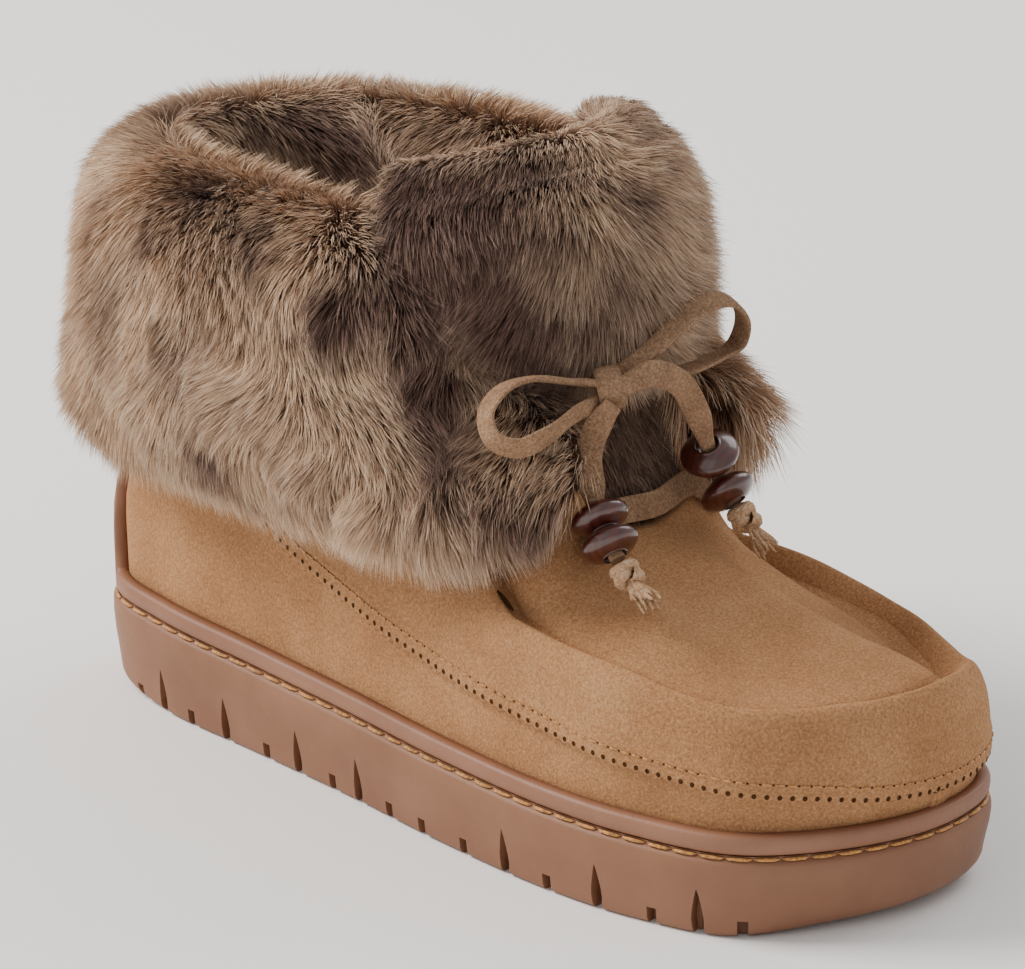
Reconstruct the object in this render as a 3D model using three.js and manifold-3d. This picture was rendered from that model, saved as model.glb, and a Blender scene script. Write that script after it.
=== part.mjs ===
// A low mukluk boot for the right foot: a suede moccasin upper with a folded fur cuff and a fur flap,
// a tied flat lace with wooden beads, and a stitched rubber cup sole.
// Millimetres. +X points to the toe, +Y to the inner side of the foot, +Z up. The origin lies on the
// ground under the middle of the sole's length.

import * as THREE from 'three';
import Module from 'manifold-3d';

const wasm = await Module();
wasm.setup();

// Sole
const SOLE_LENGTH = 262;
const BALL_WIDTH = 101;
const HEEL_SIDE_HEIGHT = 26.8;
const WAIST_SIDE_HEIGHT = 22.6;
const TOE_SIDE_HEIGHT = 21.3;
const TOE_SPRING = 2;
const HEEL_BEVEL = 2;
const SOLE_EDGE_ROUND = 2;
const SOLE_END_ROUND = 4.5;
const SOLE_TAPER = 1.6;
const STITCH_GROOVE = 1.1;

// Rand, the rubber band above the stitched groove, and its heel guard
const RAND_HEIGHT = 4.9;
const RAND_THICKNESS = 2.9;
const RAND_BULGE = 0.7;
const GUARD_HEIGHT = 66;
const GUARD_HALF_WIDTH = 25;

// Slits and notches in the sole's side
const SLIT_HEIGHT = 12.5;
const SLIT_WIDTH = 3.2;
const NOTCH_HEIGHT = 4.6;
const NOTCH_WIDTH = 2.6;
const CUT_DEPTH = 5;
const TREAD_DEPTH = 3.4;
const TREAD_WIDTH = 2.4;
const PLATE_LENGTH = 24;
const PLATE_WIDTH = 26;
const PLATE_GROOVE = 0.9;

// Upper
const SUEDE = 2.2;
const SEAM_STEP = 1.1;
const TOE_FLARE = 2.2;
const RIM_HEIGHT = 66;
const RIM_ROLL = 8.4;
const CREASE_DEPTH = 2.4;
const APRON_SAG = 2;
const THROAT_HEIGHT = 77;
const COLLAR_HEIGHT = 128;
const COLLAR_HALF_WIDTH = 38;
const ANKLE_START = 52;
const ANKLE_HEIGHT = 106;

// Insole and tongue
const INSOLE_THICKNESS = 4;
const TONGUE_THICKNESS = 2.6;
const TONGUE_TOP = 157;

// Fur
const CUFF_HEM = 73;
const CUFF_CROWN = 157;
const CUFF_PUFF_HEEL = 26;
const CUFF_PUFF_FRONT = 25;
const CUFF_LINING = 9;
const FLAP_HEM = 109;
const FLAP_CROWN = 172;
const FLAP_THICKNESS = 19;
const LOCK_LENGTH = 17;
const LOCK_WIDTH = 18;

// Lace and beads
const LACE_WIDTH = 6.5;
const LACE_THICKNESS = 1.6;
const BEAD_WIDTH = 14.5;
const BEAD_THICKNESS = 7;
const BEAD_BORE = 5.2;
const FRAY_LENGTH = 19;
const FRAY_WIDTH = 8;
const FRAY_STRANDS = 4;

// Everything that touches keeps this gap
const GAP = 0.3;

// Columns of the sole, rand and upper round the foot, starting at the middle of the heel
const COLUMNS = 54;

// Outline of the sole seen from below: shares of its length from the heel and of the ball's width
const OUTLINE = [
  { along: 0.000, across: 0.002 },
  { along: 0.050, across: -0.253 },
  { along: 0.140, across: -0.329 },
  { along: 0.280, across: -0.375 },
  { along: 0.420, across: -0.425 },
  { along: 0.560, across: -0.486 },
  { along: 0.700, across: -0.525 },
  { along: 0.800, across: -0.514 },
  { along: 0.900, across: -0.439 },
  { along: 0.970, across: -0.223 },
  { along: 1.000, across: 0.022 },
  { along: 0.985, across: 0.248 },
  { along: 0.930, across: 0.361 },
  { along: 0.840, across: 0.466 },
  { along: 0.720, across: 0.475 },
  { along: 0.580, across: 0.416 },
  { along: 0.440, across: 0.366 },
  { along: 0.300, across: 0.356 },
  { along: 0.150, across: 0.346 },
  { along: 0.050, across: 0.220 },
];

// Lift of the tread off the ground along the sole: shares of the toe spring and of the heel bevel
const TREAD_LIFT = [
  { along: 0.00, toe: 0, heel: 1 },
  { along: 0.03, toe: 0, heel: 0.2 },
  { along: 0.06, toe: 0, heel: 0 },
  { along: 0.78, toe: 0, heel: 0 },
  { along: 0.86, toe: 0, heel: 0 },
  { along: 0.93, toe: 0.25, heel: 0 },
  { along: 1.00, toe: 1, heel: 0 },
];

// The line where the wall of the vamp overlaps the lower panel, and the crest of the rolled rim:
// shares of the rim's height along the shoe
const SEAM_AND_RIM = [
  { along: 0.00, seam: 1.22, rim: 1.00, innerRim: 1.00 },
  { along: 0.20, seam: 1.12, rim: 1.00, innerRim: 1.00 },
  { along: 0.30, seam: 0.96, rim: 1.00, innerRim: 1.00 },
  { along: 0.37, seam: 0.85, rim: 1.00, innerRim: 1.00 },
  { along: 0.50, seam: 0.73, rim: 1.00, innerRim: 0.99 },
  { along: 0.64, seam: 0.655, rim: 0.985, innerRim: 0.94 },
  { along: 0.77, seam: 0.60, rim: 0.93, innerRim: 0.87 },
  { along: 0.87, seam: 0.57, rim: 0.88, innerRim: 0.81 },
  { along: 0.94, seam: 0.545, rim: 0.85, innerRim: 0.80 },
  { along: 1.00, seam: 0.48, rim: 0.85, innerRim: 0.85 },
];

// Edge of the opening, from the back of the collar (turn 0) down the front edges of the quarters to
// the middle of the throat (turn 1): shares of the sole's length, the collar's half width and height
const OPENING = [
  { turn: 0.00, along: 0.095, across: 0, rise: 1 },
  { turn: 0.08, along: 0.118, across: 0.43, rise: 1 },
  { turn: 0.17, along: 0.179, across: 0.80, rise: 1 },
  { turn: 0.29, along: 0.286, across: 1, rise: 1 },
  { turn: 0.41, along: 0.401, across: 1, rise: 1 },
  { turn: 0.50, along: 0.477, across: 0.88, rise: 1 },
  { turn: 0.55, along: 0.530, across: 0.72, rise: 0.985 },
  { turn: 0.58, along: 0.568, across: 0.60, rise: 0.94 },
  { turn: 0.61, along: 0.605, across: 0.51, rise: 0.84 },
  { turn: 0.64, along: 0.630, across: 0.46, rise: 0.73 },
  { turn: 0.68, along: 0.647, across: 0.42, rise: 0.64 },
  { turn: 0.76, along: 0.652, across: 0.31, rise: 0.616 },
  { turn: 0.87, along: 0.654, across: 0.17, rise: 0.607 },
  { turn: 1.00, along: 0.655, across: 0, rise: 0.602 },
];

// Section of the cuff: its height as a share from hem to crown, and how far it stands off the
// shaft as a share of the puff (outside) or of the lining (inside)
const CUFF_OUTSIDE = [
  { rise: 0.00, puff: 0.22 },
  { rise: 0.07, puff: 0.62 },
  { rise: 0.22, puff: 0.92 },
  { rise: 0.45, puff: 1 },
  { rise: 0.68, puff: 0.94 },
  { rise: 0.87, puff: 0.70 },
  { rise: 0.97, puff: 0.38 },
];
const CUFF_INSIDE = [
  { rise: 1.00, lining: 0.1 },
  { rise: 0.93, lining: 0.75 },
  { rise: 0.78, lining: 1 },
  { rise: 0.60, lining: 0.9 },
  { rise: 0.50, lining: 0.3 },
];

// Height of the cuff's crown and hem and its puff, from the heel (turn 0) to its front edge
const CUFF_RUN = [
  { turn: 0.00, crown: 1, hem: 0, puff: 0 },
  { turn: 0.46, crown: 1, hem: 0, puff: 0.25 },
  { turn: 0.54, crown: 0.84, hem: 0, puff: 0.6 },
  { turn: 0.58, crown: 0.62, hem: 0.03, puff: 0.9 },
  { turn: 0.612, crown: 0.50, hem: 0.12, puff: 0.6 },
];

// Section of the flap over the front of the ankle: shares of its thickness out from the tongue and
// of its height from hem to crown
const FLAP_SECTION = [
  { out: 0.55, rise: 0.00 },
  { out: 0.95, rise: 0.08 },
  { out: 1.22, rise: 0.42 },
  { out: 1.10, rise: 0.76 },
  { out: 0.62, rise: 0.96 },
  { out: 0.10, rise: 1.00 },
  { out: -0.25, rise: 0.93 },
  { out: -0.28, rise: 0.82 },
  { out: 0.12, rise: 0.78 },
  { out: 0.18, rise: 0.40 },
  { out: 0.16, rise: 0.10 },
];

// Front of the tongue along its middle: shares of the throat's height up to the tongue's top, its
// reach forward as a share of the sole's length, and its half width as a share of the collar's
const TONGUE_RUN = [
  { rise: 0.00, along: 0.665, half: 0.42 },
  { rise: 0.08, along: 0.640, half: 0.46 },
  { rise: 0.25, along: 0.618, half: 0.55 },
  { rise: 0.50, along: 0.594, half: 0.66 },
  { rise: 0.75, along: 0.578, half: 0.76 },
  { rise: 1.00, along: 0.572, half: 0.82 },
];

// Places of the tall slits and short notches along the outline's outer half, as shares of it
const SIDE_CUTS = [
  { turn: 0.138, tall: false },
  { turn: 0.173, tall: true },
  { turn: 0.211, tall: false },
  { turn: 0.255, tall: true },
  { turn: 0.306, tall: false },
  { turn: 0.346, tall: true },
  { turn: 0.389, tall: false },
  { turn: 0.422, tall: true },
  { turn: 0.461, tall: false },
  { turn: 0.502, tall: false },
  { turn: 0.552, tall: false },
  { turn: 0.600, tall: true },
  { turn: 0.645, tall: false },
  { turn: 0.695, tall: true },
  { turn: 0.744, tall: false },
  { turn: 0.783, tall: true },
  { turn: 0.819, tall: false },
];

// The bow's routes, points chosen by hand from the knot out
const KNOT = { x: 44.4, y: -19, z: 116.6 };
const LOOP_NEAR = [
  { x: 43.0, y: -22.0, z: 118.2 },
  { x: 39.5, y: -27.7, z: 119.3 },
  { x: 35.8, y: -37.8, z: 121.7 },
  { x: 33.8, y: -45.5, z: 120.6 },
  { x: 33.7, y: -51.0, z: 116.0 },
  { x: 37.1, y: -52.2, z: 110.7 },
  { x: 41.4, y: -48.4, z: 108.7 },
  { x: 44.5, y: -41.2, z: 110.7 },
  { x: 44.6, y: -31.5, z: 113.4 },
  { x: 43.5, y: -22.5, z: 113.6 },
];
const LOOP_FAR = [
  { x: 44.6, y: -16.0, z: 119.6 },
  { x: 47.4, y: -8.0, z: 123.6 },
  { x: 48.5, y: 1.0, z: 128.4 },
  { x: 49.4, y: 9.0, z: 131.3 },
  { x: 50.9, y: 17.0, z: 130.9 },
  { x: 50.8, y: 23.0, z: 124.9 },
  { x: 49.1, y: 23.0, z: 118.2 },
  { x: 47.8, y: 15.0, z: 115.7 },
  { x: 46.9, y: 5.0, z: 115.2 },
  { x: 45.3, y: -4.0, z: 115.5 },
  { x: 44.4, y: -15.0, z: 115.2 },
];
const END_NEAR = [
  { x: 49.1, y: -23.2, z: 114.5 },
  { x: 46.3, y: -25.1, z: 109.5 },
  { x: 43.4, y: -25.3, z: 101.3 },
  { x: 44.8, y: -25.8, z: 94.3 },
  { x: 47.4, y: -27.0, z: 88.9 },
  { x: 50.5, y: -28.2, z: 85.7 },
  { x: 53.4, y: -29.4, z: 82.4 },
  { x: 57.2, y: -30.6, z: 79.7 },
];
const END_FAR = [
  { x: 48.2, y: -19.6, z: 117.8 },
  { x: 51.9, y: -12.6, z: 120.2 },
  { x: 52.7, y: -3.0, z: 115.4 },
  { x: 52.0, y: 4.2, z: 106.4 },
  { x: 50.5, y: 9.8, z: 97.3 },
  { x: 49.5, y: 13.8, z: 90.4 },
  { x: 51.6, y: 15.0, z: 85.1 },
  { x: 55.6, y: 14.8, z: 81.1 },
];

// Places of the two beads along each lace end, as shares of its length
const BEADS_NEAR = [0.64, 0.86];
const BEADS_FAR = [0.66, 0.92];

// The side from which the bow is meant to be seen: its flat ends face that way
const BOW_FRONT = new THREE.Vector3(0.66, -0.66, 0.36).normalize();

// Small helpers

function clamp(value, low, high) {
  return Math.min(high, Math.max(low, value));
}

function mix(from, to, share) {
  return from + (to - from) * share;
}

function ease(share) {
  const s = clamp(share, 0, 1);
  return s * s * (3 - 2 * s);
}

// A smooth reading of one named column of a table at a value of its key column
function read(table, key, at, column) {
  const last = table.length - 1;
  const rising = table[last][key] > table[0][key];
  const limits = [table[0][key], table[last][key]];
  const where = clamp(at, Math.min(...limits), Math.max(...limits));
  let i = 0;
  while (i < last - 1 && (rising ? table[i + 1][key] < where : table[i + 1][key] > where)) {
    i += 1;
  }
  const slope = (k) => {
    const a = table[Math.max(0, k - 1)];
    const b = table[Math.min(last, k + 1)];
    return (b[column] - a[column]) / (b[key] - a[key]);
  };
  const width = table[i + 1][key] - table[i][key];
  const s = (where - table[i][key]) / width;
  const [s2, s3] = [s * s, s * s * s];
  const ends = (2 * s3 - 3 * s2 + 1) * table[i][column] + (3 * s2 - 2 * s3) * table[i + 1][column];
  return ends + (s3 - 2 * s2 + s) * slope(i) * width + (s3 - s2) * slope(i + 1) * width;
}

function toX(along) {
  return (along - 0.5) * SOLE_LENGTH;
}

function toAlong(x) {
  return x / SOLE_LENGTH + 0.5;
}

// Solids: a mesh with shared vertices becomes a manifold, facing out

function solidOf(points, triangles) {
  let volume = 0;
  for (let i = 0; i < triangles.length; i += 3) {
    const [a, b, c] = [points[triangles[i]], points[triangles[i + 1]], points[triangles[i + 2]]];
    volume += a.dot(new THREE.Vector3().crossVectors(b, c));
  }
  const faces = Uint32Array.from(triangles);
  if (volume < 0) {
    for (let i = 0; i < faces.length; i += 3) {
      [faces[i], faces[i + 1]] = [faces[i + 1], faces[i]];
    }
  }
  const positions = Float32Array.from(points.flatMap((p) => [p.x, p.y, p.z]));
  return new wasm.Manifold(new wasm.Mesh({ numProp: 3, vertProperties: positions, triVerts: faces }));
}

// Rings of equal length, joined one to the next. 'loop' joins the last ring to the first; otherwise
// the first and last are capped, by a fan or by strips between the two sides of a shoe's outline.
function ringSolid(rings, { loop = false, strips = false } = {}) {
  const count = rings[0].length;
  const points = rings.flat();
  const triangles = [];
  const pairs = loop ? rings.length : rings.length - 1;
  for (let r = 0; r < pairs; r += 1) {
    const low = r * count;
    const high = ((r + 1) % rings.length) * count;
    for (let c = 0; c < count; c += 1) {
      const d = (c + 1) % count;
      triangles.push(low + c, low + d, high + d, low + c, high + d, high + c);
    }
  }
  if (!loop) {
    capRing(triangles, 0, count, true, strips);
    capRing(triangles, (rings.length - 1) * count, count, false, strips);
  }
  return solidOf(points, triangles);
}

function capRing(triangles, start, count, flip, strips) {
  const add = (a, b, c) => (flip ? triangles.push(c, b, a) : triangles.push(a, b, c));
  if (!strips) {
    for (let c = 1; c < count - 1; c += 1) {
      add(start, start + c, start + c + 1);
    }
    return;
  }
  for (let c = 0; c < count / 2; c += 1) {
    const [a, b] = [start + c, start + c + 1];
    const [d, e] = [start + ((count - c) % count), start + count - c - 1];
    if (a !== d) {
      add(a, b, d);
    }
    if (b !== e) {
      add(b, e, d);
    }
  }
}

// A three.js geometry at its place becomes a manifold
function solidFrom(geometry, matrix = new THREE.Matrix4()) {
  const flat = geometry.index ? geometry.toNonIndexed() : geometry;
  const position = flat.getAttribute('position');
  const seen = new Map();
  const points = [];
  const triangles = [];
  for (let i = 0; i < position.count; i += 1) {
    const p = new THREE.Vector3().fromBufferAttribute(position, i);
    const name = p.toArray().map((value) => Math.round(value * 1e4)).join(' ').replaceAll('-0 ', '0 ');
    if (!seen.has(name)) {
      seen.set(name, points.length);
      points.push(p.applyMatrix4(matrix));
    }
    triangles.push(seen.get(name));
  }
  const whole = [];
  for (let i = 0; i < triangles.length; i += 3) {
    const [a, b, c] = triangles.slice(i, i + 3);
    if (a !== b && b !== c && c !== a) {
      whole.push(a, b, c);
    }
  }
  return solidOf(points, whole);
}

// A piece cut by its neighbours keeps its main body, without the crumbs cut off it
function mainBody(solid) {
  const bodies = solid.decompose();
  return bodies.reduce((best, body) => (body.volume() > best.volume() ? body : best));
}

const boot = new THREE.Group();

function addPart(name, solid, { color, roughness }) {
  const mesh = solid.getMesh();
  const geometry = new THREE.BufferGeometry();
  geometry.setAttribute('position', new THREE.BufferAttribute(mesh.vertProperties, 3));
  geometry.setIndex(new THREE.BufferAttribute(mesh.triVerts, 1));
  const part = new THREE.Mesh(geometry, new THREE.MeshStandardMaterial({ color, roughness, metalness: 0 }));
  part.name = name;
  boot.add(part);
}

// The sole's outline as one closed curve, with the outward direction at each point

const outlineCurve = new THREE.CatmullRomCurve3(
  OUTLINE.map(({ along, across }) => new THREE.Vector3(toX(along), across * BALL_WIDTH, 0)),
  true,
  'centripetal',
);
outlineCurve.arcLengthDivisions = 600;
const OUTLINE_PERIMETER = outlineCurve.getLength();

// The share of the way round at which the outline reaches the toe's tip
const toeTurn = (() => {
  let best = 0.5;
  let reach = -Infinity;
  for (let i = 400; i <= 600; i += 1) {
    const x = outlineCurve.getPointAt(i / 1000).x;
    if (x > reach) {
      [best, reach] = [i / 1000, x];
    }
  }
  return best;
})();

// A column of the foot: 'turn' runs 0 at the heel to 1 at the toe, 'side' is -1 outside, 1 inside
function column(turn, side) {
  const share = side < 0 ? turn * toeTurn : 1 - turn * (1 - toeTurn);
  const at = ((share % 1) + 1) % 1;
  const point = outlineCurve.getPointAt(at);
  const tangent = outlineCurve.getTangentAt(at);
  const out = new THREE.Vector3(-tangent.y, tangent.x, 0).normalize();
  if (out.dot(new THREE.Vector3(point.x - toX(0.45 + 0.1 * turn), point.y, 0)) < 0) {
    out.negate();
  }
  return { turn, side, point, out, along: toAlong(point.x) };
}

function columnAt(index) {
  const step = (2 * index) / COLUMNS;
  return step <= 1 ? column(step, -1) : column(2 - step, 1);
}

const columns = Array.from({ length: COLUMNS }, (_, index) => columnAt(index));

// Height of the stitched groove: the top of the sole's side
function sideHeight(along) {
  const s = clamp(along, 0, 1);
  const middle = 2 * WAIST_SIDE_HEIGHT - (HEEL_SIDE_HEIGHT + TOE_SIDE_HEIGHT) / 2;
  return (1 - s) * (1 - s) * HEEL_SIDE_HEIGHT + 2 * s * (1 - s) * middle + s * s * TOE_SIDE_HEIGHT;
}

function treadLift(along) {
  const toe = read(TREAD_LIFT, 'along', along, 'toe') * TOE_SPRING;
  const heel = read(TREAD_LIFT, 'along', along, 'heel') * HEEL_BEVEL;
  return Math.max(0, toe) + Math.max(0, heel);
}

function ringAt(cols, inset, height) {
  return cols.map((col) => {
    const p = col.point.clone().addScaledVector(col.out, -inset(col));
    p.z = height(col, toAlong(p.x));
    return p;
  });
}

// The upper's surface. For each column seven points climb from the sole to the opening; 'level' 0
// is the sole's edge, 2 the overlap seam, 4 the rim's crest, 5 the crease and 7 the opening.

const LEVELS = 7;

function apronShare(col) {
  return ease((col.along - 0.57) / 0.08) * (col.turn > 0.4 ? 1 : 0);
}

function openingPoint(col) {
  const x = toX(read(OPENING, 'turn', col.turn, 'along'));
  const y = read(OPENING, 'turn', col.turn, 'across') * COLLAR_HALF_WIDTH * col.side;
  return new THREE.Vector3(x, y, read(OPENING, 'turn', col.turn, 'rise') * COLLAR_HEIGHT);
}

// The leg of the boot leans from the sole's edge to the ankle between two heights
function legPoint(col, opening, inset, z) {
  const share = ease((z - ANKLE_START) / (ANKLE_HEIGHT - ANKLE_START));
  const low = col.point.clone().addScaledVector(col.out, -inset);
  const p = low.lerp(new THREE.Vector3(opening.x, opening.y, 0), share);
  p.z = z;
  return p;
}

function upperControls(col) {
  const opening = openingPoint(col);
  const apron = apronShare(col);
  const foot = RAND_THICKNESS + GAP;
  const bottom = sideHeight(col.along) + GAP;
  const seam = read(SEAM_AND_RIM, 'along', col.along, 'seam') * RIM_HEIGHT;
  const rim = read(SEAM_AND_RIM, 'along', col.along, col.side < 0 ? 'rim' : 'innerRim') * RIM_HEIGHT;
  const flare = TOE_FLARE * (0.45 + 0.55 * ease((col.along - 0.75) / 0.2)) * ease((col.along - 0.3) / 0.2);
  const inset = (amount, z) => {
    const p = col.point.clone().addScaledVector(col.out, -amount);
    p.z = z;
    return p;
  };
  const legSeam = Math.min(seam, mix(bottom, opening.z, 0.62));
  const seamPoint = legPoint(col, opening, foot - flare, legSeam).lerp(inset(foot - flare, seam), apron);
  const halfway = legPoint(col, opening, foot - flare * 0.35, (bottom + legSeam) / 2);
  halfway.lerp(inset(foot - flare * 0.35, (bottom + seam) / 2), apron);
  const leg = (share) => legPoint(col, opening, foot, mix(legSeam, opening.z, share));
  const roll = RIM_ROLL * (1 + 0.3 * ease((col.along - 0.85) / 0.12));
  const shoulder = leg(0.18).lerp(inset(foot - 0.4, rim - roll * 0.55), apron);
  const crest = leg(0.36).lerp(inset(foot + roll * 0.28, rim), apron);
  const inner = col.side < 0 ? 0 : ease((1 - col.turn) / 0.13);
  const crease = inset(foot + roll * mix(0.64, 1.2, inner), rim - roll * mix(0.14, 0.42, inner));
  const middle = crease.clone().lerp(opening, 0.5);
  middle.z -= APRON_SAG;
  return [
    inset(foot, bottom),
    halfway,
    seamPoint,
    shoulder,
    crest,
    leg(0.54).lerp(crease, apron),
    leg(0.77).lerp(middle, apron),
    opening,
  ];
}

function upperCurve(col) {
  return new THREE.CatmullRomCurve3(upperControls(col), false, 'centripetal');
}

const HAIR = 0.002;

// Point and outward normal of the plain upper at a column and a level
function upperFrame(turn, side, level) {
  const here = column(turn, side);
  const share = clamp(level / LEVELS, 0, 1);
  const curve = upperCurve(here);
  const point = curve.getPoint(share);
  const up = curve.getPoint(Math.min(1, share + HAIR)).sub(curve.getPoint(Math.max(0, share - HAIR)));
  const before = upperCurve(columnBeside(turn, side, -HAIR)).getPoint(share);
  const after = upperCurve(columnBeside(turn, side, HAIR)).getPoint(share);
  const across = after.sub(before).multiplyScalar(side < 0 ? 1 : -1);
  const normal = new THREE.Vector3().crossVectors(across, up).normalize();
  return { point, normal };
}

function columnBeside(turn, side, step) {
  const next = turn + step;
  if (next < 0) {
    return column(-next, -side);
  }
  if (next > 1) {
    return column(2 - next, -side);
  }
  return column(next, side);
}

// The outside's own relief: the lower panel lies a step in, and the crease is pressed in
const OUTSIDE_LEVELS = [0, 1, 1.93, 2, 2.6, 3.2, 3.7, 4.2, 4.7, 5, 5.3, 6, 7];
const INSIDE_LEVELS = [0, 1, 2, 3, 4, 5.1, 6, 7];

function panelStep(level) {
  return level < 2 ? SEAM_STEP : 0;
}

function creaseDepth(col, level) {
  return CREASE_DEPTH * apronShare(col) * Math.max(0, 1 - Math.abs(level - 5) / 0.3);
}

function upperPoint(col, level, offset) {
  const { point, normal } = upperFrame(col.turn, col.side, level);
  return point.addScaledVector(normal, offset);
}

// The upper's wall between two surfaces; 'grow' gives the fatter form that clears it
function upperShell(grow = 0) {
  const outside = OUTSIDE_LEVELS.map((level) =>
    columns.map((col) => {
      const pressed = grow ? 0 : creaseDepth(col, level);
      return upperPoint(col, level, grow - panelStep(level) - pressed);
    }));
  const inside = INSIDE_LEVELS.map((level) =>
    columns.map((col) => upperPoint(col, level, -SUEDE - panelStep(level) - grow)));
  for (const ring of [outside[0], inside[0]]) {
    ring.forEach((p, index) => {
      p.z = sideHeight(columns[index].along) + GAP - grow;
    });
  }
  if (grow) {
    const lift = (ring) => ring.map((p) => p.clone().add(new THREE.Vector3(0, 0, grow)));
    outside.push(lift(outside.at(-1)));
    inside.push(lift(inside.at(-1)));
  }
  return ringSolid([...outside, ...inside.reverse()], { loop: true });
}

// The outsole: a thick rubber slab with bevelled heel, toe spring, side slits and tread bars

function outsole() {
  const round = (share) => (col) => SOLE_TAPER + edgeRound(col) * share;
  const even = (inset) => () => inset;
  const rings = [
    ringAt(columns, round(1), (col, along) => treadLift(along)),
    ringAt(columns, round(0.3), (col, along) => treadLift(along) + edgeRound(col) * 0.3),
    ringAt(columns, round(0), (col, along) => treadLift(along) + edgeRound(col)),
    ringAt(columns, even(0), (col, along) => mix(treadLift(along), sideHeight(along), 0.6)),
    ringAt(columns, even(0), (col, along) => sideHeight(along) - STITCH_GROOVE * 1.6),
    ringAt(columns, even(STITCH_GROOVE), (col, along) => sideHeight(along) - STITCH_GROOVE * 0.5),
    ringAt(columns, even(STITCH_GROOVE), (col, along) => sideHeight(along)),
  ];
  let solid = ringSolid(rings, { strips: true });
  for (const cut of SIDE_CUTS) {
    for (const side of [-1, 1]) {
      solid = solid.subtract(sideCut(column(cut.turn, side), cut.tall));
    }
    if (cut.tall) {
      solid = solid.subtract(treadGroove(cut.turn));
    }
  }
  return solid.subtract(plateGroove());
}

// The lower edge is rounded more at the toe and the heel than along the sides
function edgeRound(col) {
  const ends = ease((col.along - 0.88) / 0.09) + ease((0.16 - col.along) / 0.12);
  return SOLE_EDGE_ROUND + SOLE_END_ROUND * ends;
}

// A narrow groove round a flat plate in the middle of the tread
function plateGroove() {
  const place = new THREE.Matrix4().makeTranslation(PLATE_LENGTH / 8, -PLATE_WIDTH / 26, 0);
  const frame = (wider, depth) => solidFrom(
    new THREE.BoxGeometry(PLATE_LENGTH + wider, PLATE_WIDTH + wider, depth),
    place,
  );
  return frame(PLATE_GROOVE * 2, PLATE_GROOVE * 2).subtract(frame(0, PLATE_GROOVE * 4));
}

// A leaf-shaped slit or a square notch, open at the tread and cut into the side
function sideCut(col, tall) {
  const width = tall ? SLIT_WIDTH : NOTCH_WIDTH;
  const height = tall ? SLIT_HEIGHT : NOTCH_HEIGHT;
  const below = -8;
  const shape = new THREE.Shape();
  shape.moveTo(-width * 0.3, below);
  shape.lineTo(width * 0.3, below);
  if (tall) {
    shape.lineTo(width * 0.5, height * 0.3);
    shape.lineTo(width * 0.36, height * 0.62);
    shape.lineTo(0, height);
    shape.lineTo(-width * 0.36, height * 0.62);
    shape.lineTo(-width * 0.5, height * 0.3);
  } else {
    shape.lineTo(width * 0.5, height);
    shape.lineTo(-width * 0.5, height);
  }
  shape.closePath();
  const cutter = new THREE.ExtrudeGeometry(shape, { depth: CUT_DEPTH * 2, bevelEnabled: false });
  const tangent = new THREE.Vector3(-col.out.y, col.out.x, 0);
  const place = new THREE.Matrix4().makeBasis(tangent, new THREE.Vector3(0, 0, 1), col.out);
  const start = col.point.clone().addScaledVector(col.out, -CUT_DEPTH);
  start.z = treadLift(col.along);
  return solidFrom(cutter, place.setPosition(start));
}

// A groove straight across the tread between the two sides
function treadGroove(turn) {
  const outer = column(turn, -1);
  const inner = column(turn, 1);
  const middle = outer.point.clone().add(inner.point).multiplyScalar(0.5);
  const across = inner.point.clone().sub(outer.point);
  const box = new THREE.BoxGeometry(across.length() * 1.1, TREAD_WIDTH, TREAD_DEPTH * 2);
  const place = new THREE.Matrix4().makeRotationZ(Math.atan2(across.y, across.x));
  middle.z = treadLift(toAlong(middle.x));
  return solidFrom(box, place.setPosition(middle));
}

// The rand lies on the sole's edge round the upper's foot and climbs the heel as a guard

// How far a column lies past the guard's side edge
function guardAway(col) {
  return (col.turn * OUTLINE_PERIMETER) / 2 - GUARD_HALF_WIDTH;
}

function guardRise(col) {
  return ease((3 - guardAway(col)) / 6);
}

// The upper's outside at a height near the sole, on the same facets as its wall
function wallPoint(col, z, offset) {
  const rows = OUTSIDE_LEVELS.slice(0, 4).map((level) => upperPoint(col, level, offset - panelStep(level)));
  rows[0].z = sideHeight(col.along) + GAP;
  const above = Math.max(1, rows.findIndex((row) => row.z > z));
  const share = (z - rows[above - 1].z) / (rows[above].z - rows[above - 1].z);
  return rows[above - 1].clone().lerp(rows[above], share);
}

function rand() {
  const ring = (share, offset) => columns.map((col) => {
    const low = sideHeight(col.along) + GAP;
    const top = mix(low + RAND_HEIGHT, GUARD_HEIGHT, guardRise(col));
    return wallPoint(col, mix(low, top, share(col, low, top)), offset(col));
  });
  const at = (share) => () => share;
  const bend = (col, low, top) => mix(0.6, (upperControls(col)[1].z - low) / (top - low), guardRise(col));
  const outer = [
    ring(at(0), () => RAND_THICKNESS),
    ring(at(0.4), (col) => RAND_THICKNESS + RAND_BULGE * (1 - 0.6 * guardRise(col))),
    ring(at(0.85), () => RAND_THICKNESS),
    ring(at(1), () => RAND_THICKNESS * 0.6),
  ];
  const clear = (col) => GAP * 1.5 + (guardAway(col) < 12 ? 0.3 : 0);
  const inner = [at(0), bend, at(1)].map((share) => ring(share, clear));
  return ringSolid([...outer, ...inner.reverse()], { loop: true }).subtract(upperCutter);
}

function insole() {
  const inset = RAND_THICKNESS + GAP + SUEDE + SEAM_STEP + GAP * 2;
  const rings = [
    ringAt(columns, () => inset, (col, along) => sideHeight(along) + GAP),
    ringAt(columns, () => inset, (col, along) => sideHeight(along) + GAP + INSOLE_THICKNESS),
  ];
  return ringSolid(rings, { strips: true });
}

// The tongue: a curved sheet behind the front edges of the quarters

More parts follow.
